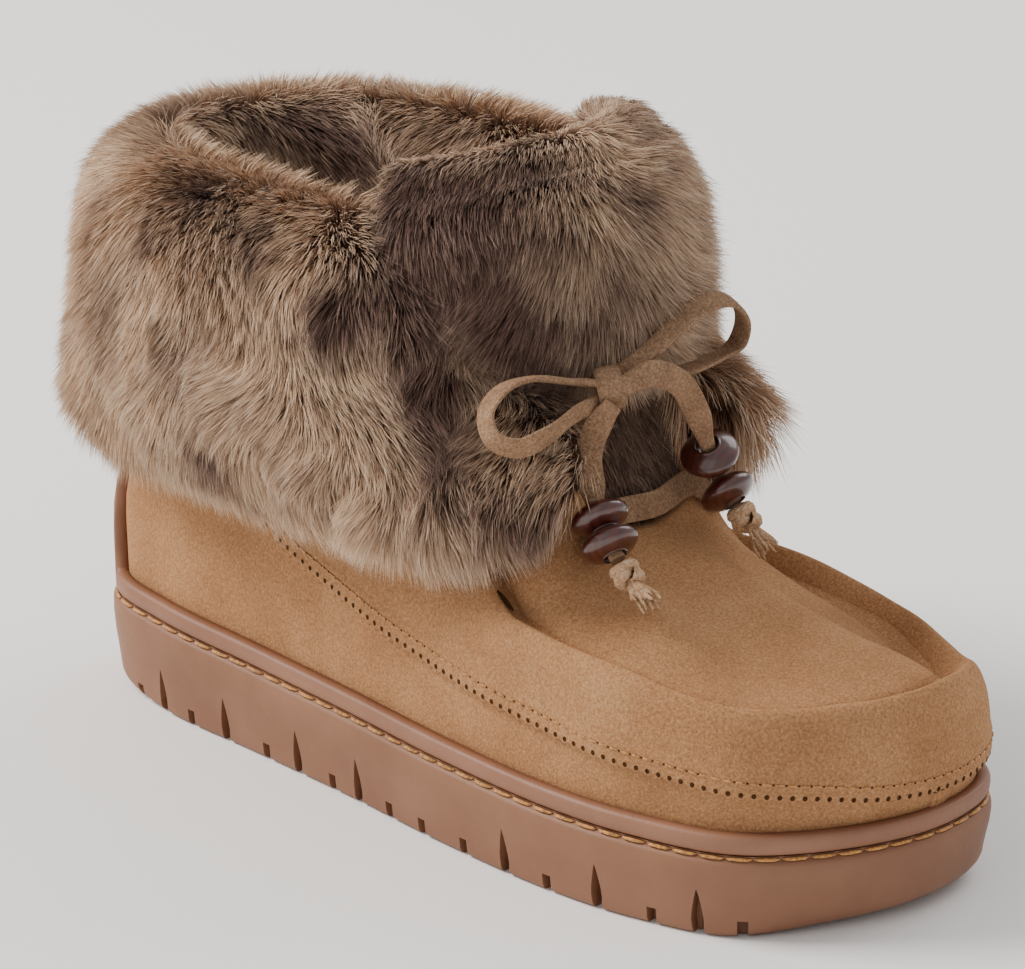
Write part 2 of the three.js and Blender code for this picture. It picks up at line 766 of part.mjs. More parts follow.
function tongueFront(rise, across) {
  const half = read(TONGUE_RUN, 'rise', rise, 'half') * COLLAR_HALF_WIDTH;
  const x = toX(read(TONGUE_RUN, 'rise', rise, 'along')) - COLLAR_HALF_WIDTH * 0.3 * across * across;
  return new THREE.Vector3(x, across * half, mix(THROAT_HEIGHT - 4, TONGUE_TOP, rise));
}

function tongueForm(grow) {
  const rises = TONGUE_RUN.map((row) => row.rise);
  const steps = [-1, -0.6, -0.2, 0.2, 0.6, 1];
  const rings = rises.map((rise, index) => {
    const lift = index === 0 ? -grow : index === rises.length - 1 ? grow : 0;
    const front = steps.map((s) => {
      const p = tongueFront(rise, s * (1 + grow / 20));
      return p.add(new THREE.Vector3(grow, 0, lift));
    });
    const back = steps.map((s) => {
      const p = tongueFront(rise, s * (1 + grow / 20));
      return p.add(new THREE.Vector3(-TONGUE_THICKNESS - grow, 0, lift));
    });
    return [...front, ...back.reverse()];
  });
  return ringSolid(rings);
}

// Fur. A lock is a four-sided tuft, its root sunk in the form that it grows from
function lock(root, direction, scale) {
  const length = LOCK_LENGTH * scale;
  const cone = new THREE.ConeGeometry(LOCK_WIDTH * 0.5 * scale, length, 4, 1).scale(1.35, 1, 0.75);
  const along = direction.clone().normalize();
  const turnTo = new THREE.Quaternion().setFromUnitVectors(new THREE.Vector3(0, 1, 0), along);
  const place = new THREE.Matrix4().makeRotationFromQuaternion(turnTo);
  return solidFrom(cone, place.setPosition(root.clone().addScaledVector(along, length * 0.28)));
}

// The cuff: a folded band of fur over the shaft, open at the front

const CUFF_STEPS = 12;

function cuffColumn(step) {
  const span = CUFF_RUN.at(-1).turn;
  const away = (step / CUFF_STEPS) * span;
  return away <= 0 ? column(-away, -1) : column(away, 1);
}

function cuffRun(col) {
  const share = (name) => read(CUFF_RUN, 'turn', col.turn, name);
  const hem = mix(CUFF_HEM, CUFF_CROWN, share('hem'));
  const crown = mix(CUFF_HEM, CUFF_CROWN, share('crown'));
  return { hem, crown, puff: mix(CUFF_PUFF_HEEL, CUFF_PUFF_FRONT, share('puff')) };
}

// The shaft's own outside at a height, and the level direction away from the leg
function shaftAt(col, z) {
  const opening = openingPoint(col);
  const p = legPoint(col, opening, RAND_THICKNESS + GAP, Math.min(z, opening.z));
  const { normal } = upperFrame(col.turn, col.side, LEVELS - 0.5);
  const out = new THREE.Vector3(normal.x, normal.y, 0).normalize();
  return { p, out };
}

function cuffPoint(col, rise, reach) {
  const { hem, crown } = cuffRun(col);
  const z = mix(hem, crown, rise);
  const { p, out } = shaftAt(col, z);
  p.addScaledVector(out, reach + 4 * Math.max(0, rise - 0.6));
  p.z = z;
  return p;
}

// One section of the cuff, closed round its outside, its lining and the wall that it lies on
function cuffSection(col, grow) {
  const { puff } = cuffRun(col);
  const lining = CUFF_LINING * (1 - 0.75 * ease((col.turn - 0.36) / 0.12));
  const point = (rise, reach) => {
    const p = cuffPoint(col, rise, reach);
    p.z += rise > 0.9 ? grow : 0;
    return p;
  };
  const outside = CUFF_OUTSIDE.map((row) => point(row.rise, row.puff * puff + grow));
  const inside = CUFF_INSIDE.map((row) => point(row.rise, -SUEDE - row.lining * lining - grow));
  const wall = [0.45, 0.2, 0].map((rise) => point(rise, -SUEDE * 0.5));
  return [...outside, ...inside, ...wall];
}

function cuffForm(grow = 0) {
  const steps = Array.from({ length: 2 * CUFF_STEPS + 1 }, (_, i) => i - CUFF_STEPS);
  if (grow) {
    const past = CUFF_STEPS + grow * 0.15;
    steps.unshift(-past);
    steps.push(past);
  }
  return ringSolid(steps.map((step) => cuffSection(cuffColumn(step), grow)));
}

function furCuff() {
  let solid = cuffForm();
  const rows = [
    { rise: 0.16, up: -4.5, scale: 0.9 },
    { rise: 0.5, up: -2.8, scale: 1.15 },
    { rise: 0.86, up: 1.8, scale: 0.75 },
  ];
  const tufts = [];
  rows.forEach((row, index) => {
    for (let step = -CUFF_STEPS + 1 + 3.5 * index; step < CUFF_STEPS - 3.5 * index; step += 2.5) {
      const col = cuffColumn(step);
      const { puff } = cuffRun(col);
      const reach = read(CUFF_OUTSIDE, 'rise', Math.min(row.rise, 0.97), 'puff') * puff;
      const { out } = shaftAt(col, CUFF_HEM);
      const direction = out.clone().add(new THREE.Vector3(0, 0, row.up));
      tufts.push(lock(cuffPoint(col, row.rise, reach - 4), direction, row.scale));
    }
  });
  for (const tuft of tufts) {
    solid = solid.add(tuft);
  }
  return mainBody(solid.subtract(upperCutter).subtract(tongueForm(GAP)).subtract(laceBar(GAP)));
}

// The flap: the tongue's own fur, folded forward over the front of the ankle

const FLAP_STEPS = 5;

function flapPoint(side, out, rise) {
  const angle = side * mix(0.95, 1.3, rise);
  const reach = FLAP_THICKNESS * out * (1 - 0.25 * side * side);
  const base = tongueFront(0.75, 0).x - COLLAR_HALF_WIDTH;
  const radius = COLLAR_HALF_WIDTH + GAP * 2 + reach;
  const hem = FLAP_HEM + 5 * side * side;
  const crown = FLAP_CROWN - 7 * side * side;
  return new THREE.Vector3(
    base + radius * Math.cos(angle),
    radius * Math.sin(angle) * 0.92,
    mix(hem, crown, rise),
  );
}

function furFlap() {
  const steps = Array.from({ length: 2 * FLAP_STEPS + 1 }, (_, i) => (i - FLAP_STEPS) / FLAP_STEPS);
  let solid = ringSolid(steps.map((s) => FLAP_SECTION.map((row) => flapPoint(s, row.out, row.rise))));
  const rows = [
    { out: 1.15, rise: 0.5, up: -2.4, scale: 0.95 },
    { out: 0.7, rise: 0.92, up: 1.6, scale: 0.6 },
  ];
  rows.forEach((row, index) => {
    for (let i = -3; i <= 3; i += 1) {
      const side = (i + (index % 2) * 0.5) / 4;
      const root = flapPoint(side, row.out - 0.25, row.rise);
      const angle = side * 1.1;
      const direction = new THREE.Vector3(Math.cos(angle), Math.sin(angle), row.up);
      solid = solid.add(lock(root, direction, row.scale));
    }
  });
  return mainBody(solid.subtract(tongueForm(GAP)).subtract(upperCutter).subtract(cuffForm(GAP)));
}

// A flat band along a route, its flat face turned to each point's own direction
function band(route, width, thickness, grow = 0) {
  const middle = new THREE.CatmullRomCurve3(route.map((r) => new THREE.Vector3(r.x, r.y, r.z)));
  const facing = new THREE.CatmullRomCurve3(route.map((r) => new THREE.Vector3(r.fx, r.fy, r.fz)));
  const steps = Math.round((route.length - 1) * 1.6);
  const rings = Array.from({ length: steps + 1 }, (_, i) => {
    const share = i / steps;
    const p = middle.getPoint(share);
    const tangent = middle.getTangent(share);
    const side = new THREE.Vector3().crossVectors(tangent, facing.getPoint(share)).normalize();
    const face = new THREE.Vector3().crossVectors(side, tangent).normalize();
    const w = (typeof width === 'function' ? width(share) : width) / 2 + grow;
    const t = (typeof thickness === 'function' ? thickness(share) : thickness) / 2 + grow;
    const corner = Math.min(w, t) * 0.8;
    return [
      [w, 0], [w - corner, t], [-w + corner, t], [-w, 0], [-w + corner, -t], [w - corner, -t],
    ].map(([a, b]) => p.clone().addScaledVector(side, a).addScaledVector(face, b));
  });
  return ringSolid(rings);
}

// The lace crosses the throat in front of the tongue and lies on the front edge of each quarter
function laceBar(grow = 0) {
  const lie = LACE_THICKNESS / 2 + GAP * 4;
  const onQuarter = (side, turn, level) => {
    const { point, normal } = upperFrame(turn, side, level);
    const p = point.addScaledVector(normal, lie);
    return { x: p.x, y: p.y, z: p.z, fx: normal.x, fy: normal.y, fz: normal.z };
  };
  const near = [onQuarter(-1, 0.66, 6.3), onQuarter(-1, 0.675, 6.9)];
  const far = [onQuarter(1, 0.675, 6.9), onQuarter(1, 0.66, 6.3)];
  const middle = {
    x: (near[1].x + far[0].x) / 2 + 2.4,
    y: 0,
    z: (near[1].z + far[0].z) / 2,
    fx: 1,
    fy: 0,
    fz: 0.25,
  };
  return mainBody(band([...near, middle, ...far], LACE_WIDTH, LACE_THICKNESS, grow).subtract(upperCutter));
}

// A lace's route with its flat face's direction: 'round' is how far a loop's face turns outwards
function faced(route, round) {
  const middle = route.reduce((sum, r) => sum.add(new THREE.Vector3(r.x, r.y, r.z)), new THREE.Vector3());
  middle.divideScalar(route.length);
  return route.map((r) => {
    const away = new THREE.Vector3(r.x, r.y, r.z).sub(middle).normalize();
    const face = BOW_FRONT.clone().multiplyScalar(1 - round).addScaledVector(away, round);
    return { ...r, fx: face.x, fy: face.y, fz: face.z };
  });
}

function laceKnot(grow = 0) {
  const ball = new THREE.SphereGeometry(1, 10, 7);
  ball.scale(LACE_WIDTH * 0.62 + grow, LACE_WIDTH * 0.8 + grow, LACE_WIDTH * 0.72 + grow);
  return solidFrom(ball, new THREE.Matrix4().makeTranslation(KNOT.x, KNOT.y, KNOT.z));
}

function laceLoop(route) {
  const gathered = (share) => LACE_WIDTH * mix(0.6, 1, ease(Math.min(share, 1 - share) / 0.25));
  return mainBody(band(faced(route, 0.8), gathered, LACE_THICKNESS).subtract(laceKnot(GAP)));
}

// A lace end is folded lengthwise where it runs through its beads
function laceEnd(route, beads) {
  const folded = (share) => ease((share - beads[0] + 0.22) / 0.16);
  const width = (share) => LACE_WIDTH * mix(1, 0.58, folded(share)) * mix(0.7, 1, ease(share / 0.15));
  const thickness = (share) => LACE_THICKNESS * mix(1, 1.7, folded(share));
  return mainBody(band(faced(route, 0), width, thickness).subtract(laceKnot(GAP)));
}

function routeCurve(route) {
  return new THREE.CatmullRomCurve3(route.map((r) => new THREE.Vector3(r.x, r.y, r.z)));
}

// Turns +Y to a direction at a place
function aimed(place, direction) {
  const turnTo = new THREE.Quaternion().setFromUnitVectors(new THREE.Vector3(0, 1, 0), direction);
  return new THREE.Matrix4().makeRotationFromQuaternion(turnTo).setPosition(place);
}

// A lens-shaped wooden bead with a bore for the folded lace
function bead(route, share) {
  const [r, h, b] = [BEAD_WIDTH / 2, BEAD_THICKNESS / 2, BEAD_BORE / 2];
  const profile = [
    [b, -h * 0.9], [r * 0.66, -h * 0.85], [r, -h * 0.15],
    [r, h * 0.15], [r * 0.66, h * 0.85], [b, h * 0.9], [b, -h * 0.9],
  ].map(([x, y]) => new THREE.Vector2(x, y));
  const curve = routeCurve(route);
  const place = aimed(curve.getPoint(share), curve.getTangent(share));
  return solidFrom(new THREE.LatheGeometry(profile, 12), place);
}

// The knot under the beads with the lace's frayed tip: a ball with strands fused on
function fray(route) {
  const curve = routeCurve(route);
  const down = curve.getTangent(1);
  const start = curve.getPoint(1).addScaledVector(down, FRAY_WIDTH * 0.5 + GAP * 2);
  let solid = solidFrom(new THREE.SphereGeometry(FRAY_WIDTH / 2, 8, 6), aimed(start, down));
  const [sideways, forward] = [new THREE.Vector3(), new THREE.Vector3()];
  sideways.crossVectors(down, BOW_FRONT).normalize();
  forward.crossVectors(sideways, down).normalize();
  for (let strand = 0; strand < FRAY_STRANDS; strand += 1) {
    const angle = (strand / FRAY_STRANDS) * Math.PI * 2;
    const direction = down.clone()
      .addScaledVector(sideways, 0.32 * Math.cos(angle))
      .addScaledVector(forward, 0.32 * Math.sin(angle))
      .normalize();
    const tip = new THREE.CylinderGeometry(1.7, 1.1, FRAY_LENGTH - FRAY_WIDTH, 4);
    const middle = start.clone().addScaledVector(direction, (FRAY_LENGTH - FRAY_WIDTH) * 0.5);
    solid = solid.add(solidFrom(tip, aimed(middle, direction.negate())));
  }
  return solid;
}

const upperCutter = upperShell(GAP * 1.4);

const SUEDE_FINISH = { color: 0xb08862, roughness: 0.95 };
const RUBBER_FINISH = { color: 0xa67c63, roughness: 0.6 };
const FUR_FINISH = { color: 0x8c7461, roughness: 1 };
const LACE_FINISH = { color: 0xa8825f, roughness: 0.9 };
const WOOD_FINISH = { color: 0x5a2e22, roughness: 0.25 };
const FRAY_FINISH = { color: 0xb08a6c, roughness: 0.95 };

addPart('outsole', outsole(), RUBBER_FINISH);
addPart('upper', upperShell(), SUEDE_FINISH);
addPart('rand', rand(), RUBBER_FINISH);
addPart('insole', insole(), { color: 0x9a8068, roughness: 0.95 });
addPart('tongue', mainBody(tongueForm(0).subtract(upperCutter)), SUEDE_FINISH);
addPart('fur_cuff', furCuff(), FUR_FINISH);
addPart('fur_flap', furFlap(), FUR_FINISH);
addPart('lace_bar', laceBar(), LACE_FINISH);
addPart('lace_knot', laceKnot(), LACE_FINISH);
addPart('lace_loop_near', laceLoop(LOOP_NEAR), LACE_FINISH);
addPart('lace_loop_far', laceLoop(LOOP_FAR), LACE_FINISH);
addPart('lace_end_near', laceEnd(END_NEAR, BEADS_NEAR), LACE_FINISH);
addPart('lace_end_far', laceEnd(END_FAR, BEADS_FAR), LACE_FINISH);
BEADS_NEAR.forEach((share, index) => addPart(`bead_near_${index + 1}`, bead(END_NEAR, share), WOOD_FINISH));
BEADS_FAR.forEach((share, index) => addPart(`bead_far_${index + 1}`, bead(END_FAR, share), WOOD_FINISH));
addPart('fray_near', fray(END_NEAR), FRAY_FINISH);
addPart('fray_far', fray(END_FAR), FRAY_FINISH);

export default boot;
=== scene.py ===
# Looks of a low mukluk boot for the right foot: a brushed suede moccasin upper on a stitched rubber cup
# sole, a folded fur cuff, a fur flap over the front, and a flat lace tied in a bow with wooden beads.
# The object's frame is metres: +X to the toe, +Y to the inner side of the foot, +Z up. The shapes are
# worked out in millimetres from the same named sizes as the solids.

import math

import bmesh
import bpy
import numpy as np
from mathutils import Matrix, Vector
from mathutils.kdtree import KDTree


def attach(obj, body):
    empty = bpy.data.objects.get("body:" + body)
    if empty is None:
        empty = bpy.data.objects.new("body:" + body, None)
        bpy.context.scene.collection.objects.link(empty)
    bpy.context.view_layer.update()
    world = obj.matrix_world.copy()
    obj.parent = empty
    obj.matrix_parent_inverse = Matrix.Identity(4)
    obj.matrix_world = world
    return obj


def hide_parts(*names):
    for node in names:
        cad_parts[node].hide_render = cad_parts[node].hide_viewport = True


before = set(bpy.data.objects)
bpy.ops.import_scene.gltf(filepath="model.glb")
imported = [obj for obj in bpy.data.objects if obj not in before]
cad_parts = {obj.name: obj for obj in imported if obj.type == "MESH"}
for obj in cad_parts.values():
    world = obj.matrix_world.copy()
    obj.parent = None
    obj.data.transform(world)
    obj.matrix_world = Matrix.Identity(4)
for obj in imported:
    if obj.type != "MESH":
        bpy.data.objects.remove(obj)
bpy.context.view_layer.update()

MM = 0.001

# Camera, from the photograph's own perspective
IMAGE_WIDTH = 1025
IMAGE_HEIGHT = 969
CAMERA_AZIMUTH = 41.0227
CAMERA_ELEVATION = 20.7160
CAMERA_ROLL = 0.04
CAMERA_TARGET = (0.0, 0.0, 0.060)
CAMERA_DISTANCE = 1.3
FOCAL_PIXELS = 5257.0
PICTURE_CENTRE = (520.41, 547.23)
SENSOR_WIDTH = 36.0


def add_camera():
    azimuth, elevation = math.radians(CAMERA_AZIMUTH), math.radians(CAMERA_ELEVATION)
    back = Vector((
        math.sin(azimuth) * math.cos(elevation),
        -math.cos(azimuth) * math.cos(elevation),
        math.sin(elevation),
    ))
    right = Vector((math.cos(azimuth), math.sin(azimuth), 0.0))
    up = back.cross(right)
    turned = Matrix((right, up, back)).transposed().to_4x4()
    turned.translation = Vector(CAMERA_TARGET) + back * CAMERA_DISTANCE
    data = bpy.data.cameras.new("camera")
    data.sensor_width = SENSOR_WIDTH
    data.lens = FOCAL_PIXELS * SENSOR_WIDTH / IMAGE_WIDTH
    data.shift_x = 0.5 - PICTURE_CENTRE[0] / IMAGE_WIDTH
    data.shift_y = (PICTURE_CENTRE[1] - IMAGE_HEIGHT / 2) / IMAGE_WIDTH
    data.clip_start, data.clip_end = 0.1, 20.0
    camera = bpy.data.objects.new("camera", data)
    camera.matrix_world = turned @ Matrix.Rotation(math.radians(-CAMERA_ROLL), 4, "Z")
    bpy.context.scene.collection.objects.link(camera)
    bpy.context.scene.camera = camera


add_camera()

# The bow's routes in metres, from the knot out, as in the solids
KNOT = (0.0444, -0.0190, 0.1166)
LOOP_NEAR = [
    (0.0430, -0.0220, 0.1182), (0.0395, -0.0277, 0.1193), (0.0358, -0.0378, 0.1217),
    (0.0338, -0.0455, 0.1206), (0.0337, -0.0510, 0.1160), (0.0371, -0.0522, 0.1107),
    (0.0414, -0.0484, 0.1087), (0.0445, -0.0412, 0.1107), (0.0446, -0.0315, 0.1134),
    (0.0435, -0.0225, 0.1136),
]
LOOP_FAR = [
    (0.0446, -0.0160, 0.1196), (0.0474, -0.0080, 0.1236), (0.0485, 0.0010, 0.1284),
    (0.0494, 0.0090, 0.1313), (0.0509, 0.0170, 0.1309), (0.0508, 0.0230, 0.1249),
    (0.0491, 0.0230, 0.1182), (0.0478, 0.0150, 0.1157), (0.0469, 0.0050, 0.1152),
    (0.0453, -0.0040, 0.1155), (0.0444, -0.0150, 0.1152),
]
END_NEAR = [
    (0.0491, -0.0232, 0.1145), (0.0463, -0.0251, 0.1095), (0.0434, -0.0253, 0.1013),
    (0.0448, -0.0258, 0.0943), (0.0474, -0.0270, 0.0889), (0.0505, -0.0282, 0.0857),
    (0.0534, -0.0294, 0.0824), (0.0572, -0.0306, 0.0797),
]
END_FAR = [
    (0.0482, -0.0196, 0.1178), (0.0519, -0.0126, 0.1202), (0.0527, -0.0030, 0.1154),
    (0.0520, 0.0042, 0.1064), (0.0505, 0.0098, 0.0973), (0.0495, 0.0138, 0.0904),
    (0.0516, 0.0150, 0.0851), (0.0556, 0.0148, 0.0811),
]
BEADS_NEAR = (0.64, 0.86)
BEADS_FAR = (0.66, 0.92)
BOW_FRONT = np.array([0.66, -0.66, 0.36]) / np.linalg.norm([0.66, -0.66, 0.36])

# Sizes in millimetres, as in the solids
SOLE_LENGTH = 262.0
BALL_WIDTH = 101.0
HEEL_SIDE_HEIGHT, WAIST_SIDE_HEIGHT, TOE_SIDE_HEIGHT = 26.8, 22.6, 21.3
TOE_SPRING, HEEL_BEVEL = 2.0, 2.0
SOLE_EDGE_ROUND, SOLE_END_ROUND, SOLE_TAPER, STITCH_GROOVE = 2.0, 4.5, 1.6, 1.1
RAND_HEIGHT, RAND_THICKNESS, RAND_BULGE = 4.9, 2.9, 0.7
GUARD_HEIGHT, GUARD_HALF_WIDTH = 66.0, 25.0
SLIT_HEIGHT, SLIT_WIDTH, NOTCH_HEIGHT, NOTCH_WIDTH = 12.5, 3.2, 4.6, 2.6
CUT_DEPTH, CUT_BELOW, TREAD_DEPTH, TREAD_WIDTH = 5.0, 8.0, 3.4, 2.4
SUEDE, SEAM_STEP, TOE_FLARE = 2.2, 1.1, 2.2
RIM_HEIGHT, RIM_ROLL, APRON_SAG = 66.0, 8.4, 2.0
COLLAR_HEIGHT, COLLAR_HALF_WIDTH = 128.0, 38.0
ANKLE_START, ANKLE_HEIGHT = 52.0, 106.0
CUFF_HEM, CUFF_CROWN = 73.0, 157.0
CUFF_PUFF_HEEL, CUFF_PUFF_FRONT, CUFF_LINING = 26.0, 25.0, 9.0
FLAP_HEM, FLAP_CROWN, FLAP_THICKNESS, FLAP_NARROWING = 109.0, 172.0, 19.0, 0.92
THROAT_HEIGHT, TONGUE_TOP = 77.0, 157.0
LACE_WIDTH, LACE_THICKNESS = 6.5, 1.6
BEAD_WIDTH, BEAD_THICKNESS, BEAD_BORE, BEAD_KEENNESS = 14.5, 7.0, 5.2, 1.7
FRAY_LENGTH, FRAY_WIDTH, FRAY_STRANDS = 19.0, 8.0, 26
GAP = 0.3

OUTLINE = {
    "along": [0.000, 0.050, 0.140, 0.280, 0.420, 0.560, 0.700, 0.800, 0.900, 0.970,
              1.000, 0.985, 0.930, 0.840, 0.720, 0.580, 0.440, 0.300, 0.150, 0.050],
    "across": [0.002, -0.253, -0.329, -0.375, -0.425, -0.486, -0.525, -0.514, -0.439, -0.223,
               0.022, 0.248, 0.361, 0.466, 0.475, 0.416, 0.366, 0.356, 0.346, 0.220],
}
TREAD_LIFT = {
    "along": [0.00, 0.03, 0.06, 0.78, 0.86, 0.93, 1.00],
    "toe": [0, 0, 0, 0, 0, 0.25, 1],
    "heel": [1, 0.2, 0, 0, 0, 0, 0],
}
SEAM_AND_RIM = {
    "along": [0.00, 0.20, 0.30, 0.37, 0.50, 0.64, 0.77, 0.87, 0.94, 1.00],
    "seam": [1.22, 1.12, 0.96, 0.85, 0.73, 0.655, 0.60, 0.57, 0.545, 0.48],
    "rim": [1.00, 1.00, 1.00, 1.00, 1.00, 0.985, 0.93, 0.88, 0.85, 0.85],
    "inner_rim": [1.00, 1.00, 1.00, 1.00, 0.99, 0.94, 0.87, 0.81, 0.80, 0.85],
}
OPENING = {
    "turn": [0.00, 0.08, 0.17, 0.29, 0.41, 0.50, 0.55, 0.58, 0.61, 0.64, 0.68, 0.76, 0.87, 1.00],
    "along": [0.095, 0.118, 0.179, 0.286, 0.401, 0.477, 0.530, 0.568, 0.605, 0.630, 0.647, 0.652,
              0.654, 0.655],
    "across": [0, 0.43, 0.80, 1, 1, 0.88, 0.72, 0.60, 0.51, 0.46, 0.42, 0.31, 0.17, 0],
    "rise": [1, 1, 1, 1, 1, 1, 0.985, 0.94, 0.84, 0.73, 0.64, 0.616, 0.607, 0.602],
}
CUFF_OUTSIDE = {
    "rise": [0.00, 0.07, 0.22, 0.45, 0.68, 0.87, 0.97],
    "puff": [0.22, 0.62, 0.92, 1, 0.94, 0.70, 0.38],
}
CUFF_INSIDE = {
    "rise": [1.00, 0.93, 0.78, 0.60, 0.50],
    "lining": [0.1, 0.75, 1, 0.9, 0.3],
}
CUFF_RUN = {
    "turn": [0.00, 0.46, 0.54, 0.58, 0.612],
    "crown": [1, 1, 0.84, 0.62, 0.50],
    "hem": [0, 0, 0, 0.03, 0.12],
    "puff": [0, 0.25, 0.6, 0.9, 0.6],
}
FLAP_SECTION = {
    "out": [0.55, 0.95, 1.22, 1.10, 0.62, 0.10, -0.25, -0.28, 0.12, 0.18, 0.16],
    "rise": [0.00, 0.08, 0.42, 0.76, 0.96, 1.00, 0.93, 0.82, 0.78, 0.40, 0.10],
}
TONGUE_RUN = {
    "rise": [0.00, 0.08, 0.25, 0.50, 0.75, 1.00],
    "along": [0.665, 0.640, 0.618, 0.594, 0.578, 0.572],
}
TALL_CUTS = (0.173, 0.255, 0.346, 0.422, 0.600, 0.695, 0.783)
SHORT_CUTS = (0.138, 0.211, 0.306, 0.389, 0.461, 0.502, 0.552, 0.645, 0.744, 0.819)


def ease(share):
    s = np.clip(share, 0, 1)
    return s * s * (3 - 2 * s)


def mix(low, high, share):
    return low + (high - low) * share


def unit(vectors):
    return vectors / np.maximum(np.linalg.norm(vectors, axis=-1, keepdims=True), 1e-9)


def read(table, key, at, column):
    """One named column of a table, read smoothly at values of its key column."""
    keys, values = np.array(table[key], float), np.array(table[column], float)
    at = np.asarray(at, float)
    if keys[0] > keys[-1]:
        keys, values = keys[::-1], values[::-1]
    where = np.clip(at, keys[0], keys[-1])
    i = np.clip(np.searchsorted(keys, where, side="left") - 1, 0, len(keys) - 2)
    every = np.arange(len(keys))
    low, high = np.maximum(every - 1, 0), np.minimum(every + 1, len(keys) - 1)
    slope = (values[high] - values[low]) / (keys[high] - keys[low])
    width = keys[i + 1] - keys[i]
    s = (where - keys[i]) / width
    ends = (2 * s**3 - 3 * s**2 + 1) * values[i] + (3 * s**2 - 2 * s**3) * values[i + 1]
    return ends + (s**3 - 2 * s**2 + s) * slope[i] * width + (s**3 - s**2) * slope[i + 1] * width


def through(points, share, closed=False):
    """Centripetal spline through points (c, n, 3) at shares (c, m) of the way."""
    n = points.shape[1]
    spans = n if closed else n - 1
    at = np.asarray(share, float) * spans
    at = at % n if closed else np.clip(at, 0, spans)
    span = np.minimum(np.floor(at).astype(int), spans - 1)
    if closed:
        around = points[:, (np.arange(n + 3) - 1) % n]
    else:
        before, after = 2 * points[:, :1] - points[:, 1:2], 2 * points[:, -1:] - points[:, -2:-1]
        around = np.concatenate([before, points, after], axis=1)
    p0, p1, p2, p3 = (np.take_along_axis(around, (span + k)[..., None], axis=1) for k in range(4))

    def root(a, b):
        return np.maximum(np.sum((b - a) ** 2, axis=-1, keepdims=True), 1e-12) ** 0.25

    d0, d1, d2 = root(p0, p1), root(p1, p2), root(p2, p3)
    leave = ((p1 - p0) / d0 - (p2 - p0) / (d0 + d1) + (p2 - p1) / d1) * d1
    arrive = ((p2 - p1) / d1 - (p3 - p1) / (d1 + d2) + (p3 - p2) / d2) * d1
    w = (at - span)[..., None]
    return (p1 + leave * w + (3 * (p2 - p1) - 2 * leave - arrive) * w**2
            + (2 * (p1 - p2) + leave + arrive) * w**3)


# The sole's outline by length

outline_knots = np.stack([
    (np.array(OUTLINE["along"]) - 0.5) * SOLE_LENGTH,
    np.array(OUTLINE["across"]) * BALL_WIDTH,
    np.zeros(len(OUTLINE["along"])),
], axis=-1)[None]
outline_shares = np.linspace(0, 1, 6001)
outline_points = through(outline_knots, outline_shares[None] % 1.0, closed=True)[0]
outline_run = np.concatenate([[0], np.cumsum(np.linalg.norm(np.diff(outline_points, axis=0), axis=1))])
OUTLINE_PERIMETER = outline_run[-1]


def outline_at(share):
    share = np.asarray(share, float) % 1.0
    at = np.interp(share * OUTLINE_PERIMETER, outline_run, outline_shares)
    return through(outline_knots, at[None], closed=True)[0]


toe_shares = np.arange(400, 601) / 1000
toe_turn = toe_shares[np.argmax(outline_at(toe_shares)[:, 0])]


class Columns:
    """Columns of the foot: turn runs 0 at the heel to 1 at the toe, side is -1 outside and 1 inside."""

    def __init__(self, turn, side):
        turn, side = np.broadcast_arrays(np.asarray(turn, float), np.asarray(side, float))
        side = np.where((turn < 0) | (turn > 1), -side, side)
        turn = np.abs(turn)
        turn = np.where(turn > 1, 2 - turn, turn)
        share = np.where(side < 0, turn * toe_turn, 1 - turn * (1 - toe_turn))
        self.turn, self.side = turn, side
        self.point = outline_at(share)
        ahead = unit(outline_at(share + 1e-4) - outline_at(share - 1e-4))
        out = np.stack([-ahead[..., 1], ahead[..., 0], 0 * turn], axis=-1)
        middle_x = (0.1 * turn - 0.05) * SOLE_LENGTH
        inward = np.stack([self.point[..., 0] - middle_x, self.point[..., 1]], axis=-1)
        facing = np.sum(out[..., :2] * inward, axis=-1)
        self.out = np.where(facing[..., None] < 0, -out, out)
        self.along = self.point[..., 0] / SOLE_LENGTH + 0.5


def columns_round(step):
    """Columns at steps from the heel at 0 past the outer side to the toe at 1 and back inside to 2."""
    return Columns(np.where(step <= 1, step, 2 - step), np.where(step <= 1, -1, 1))


def all_round(count):
    return columns_round(2 * np.arange(count) / count)


def side_height(along):
    s = np.clip(along, 0, 1)
    middle = 2 * WAIST_SIDE_HEIGHT - (HEEL_SIDE_HEIGHT + TOE_SIDE_HEIGHT) / 2
    return (1 - s) ** 2 * HEEL_SIDE_HEIGHT + 2 * s * (1 - s) * middle + s**2 * TOE_SIDE_HEIGHT


def tread_lift(along):
    toe = read(TREAD_LIFT, "along", along, "toe") * TOE_SPRING
    return np.maximum(0, toe) + np.maximum(0, read(TREAD_LIFT, "along", along, "heel")) * HEEL_BEVEL


# The upper's surface: level 0 is the sole's edge and LEVELS the opening. The lower panel's step ends
# just above the overlap seam.
LEVELS = 7
SEAM_LEVEL = 2.0
CREASE_LEVEL = 5
STEP_LEVEL = SEAM_LEVEL + 0.04


def apron_share(cols):
    return ease((cols.along - 0.57) / 0.08) * (cols.turn > 0.4)


def opening_point(cols):
    x = (read(OPENING, "turn", cols.turn, "along") - 0.5) * SOLE_LENGTH
    y = read(OPENING, "turn", cols.turn, "across") * COLLAR_HALF_WIDTH * cols.side
    return np.stack([x, y, read(OPENING, "turn", cols.turn, "rise") * COLLAR_HEIGHT], axis=-1)


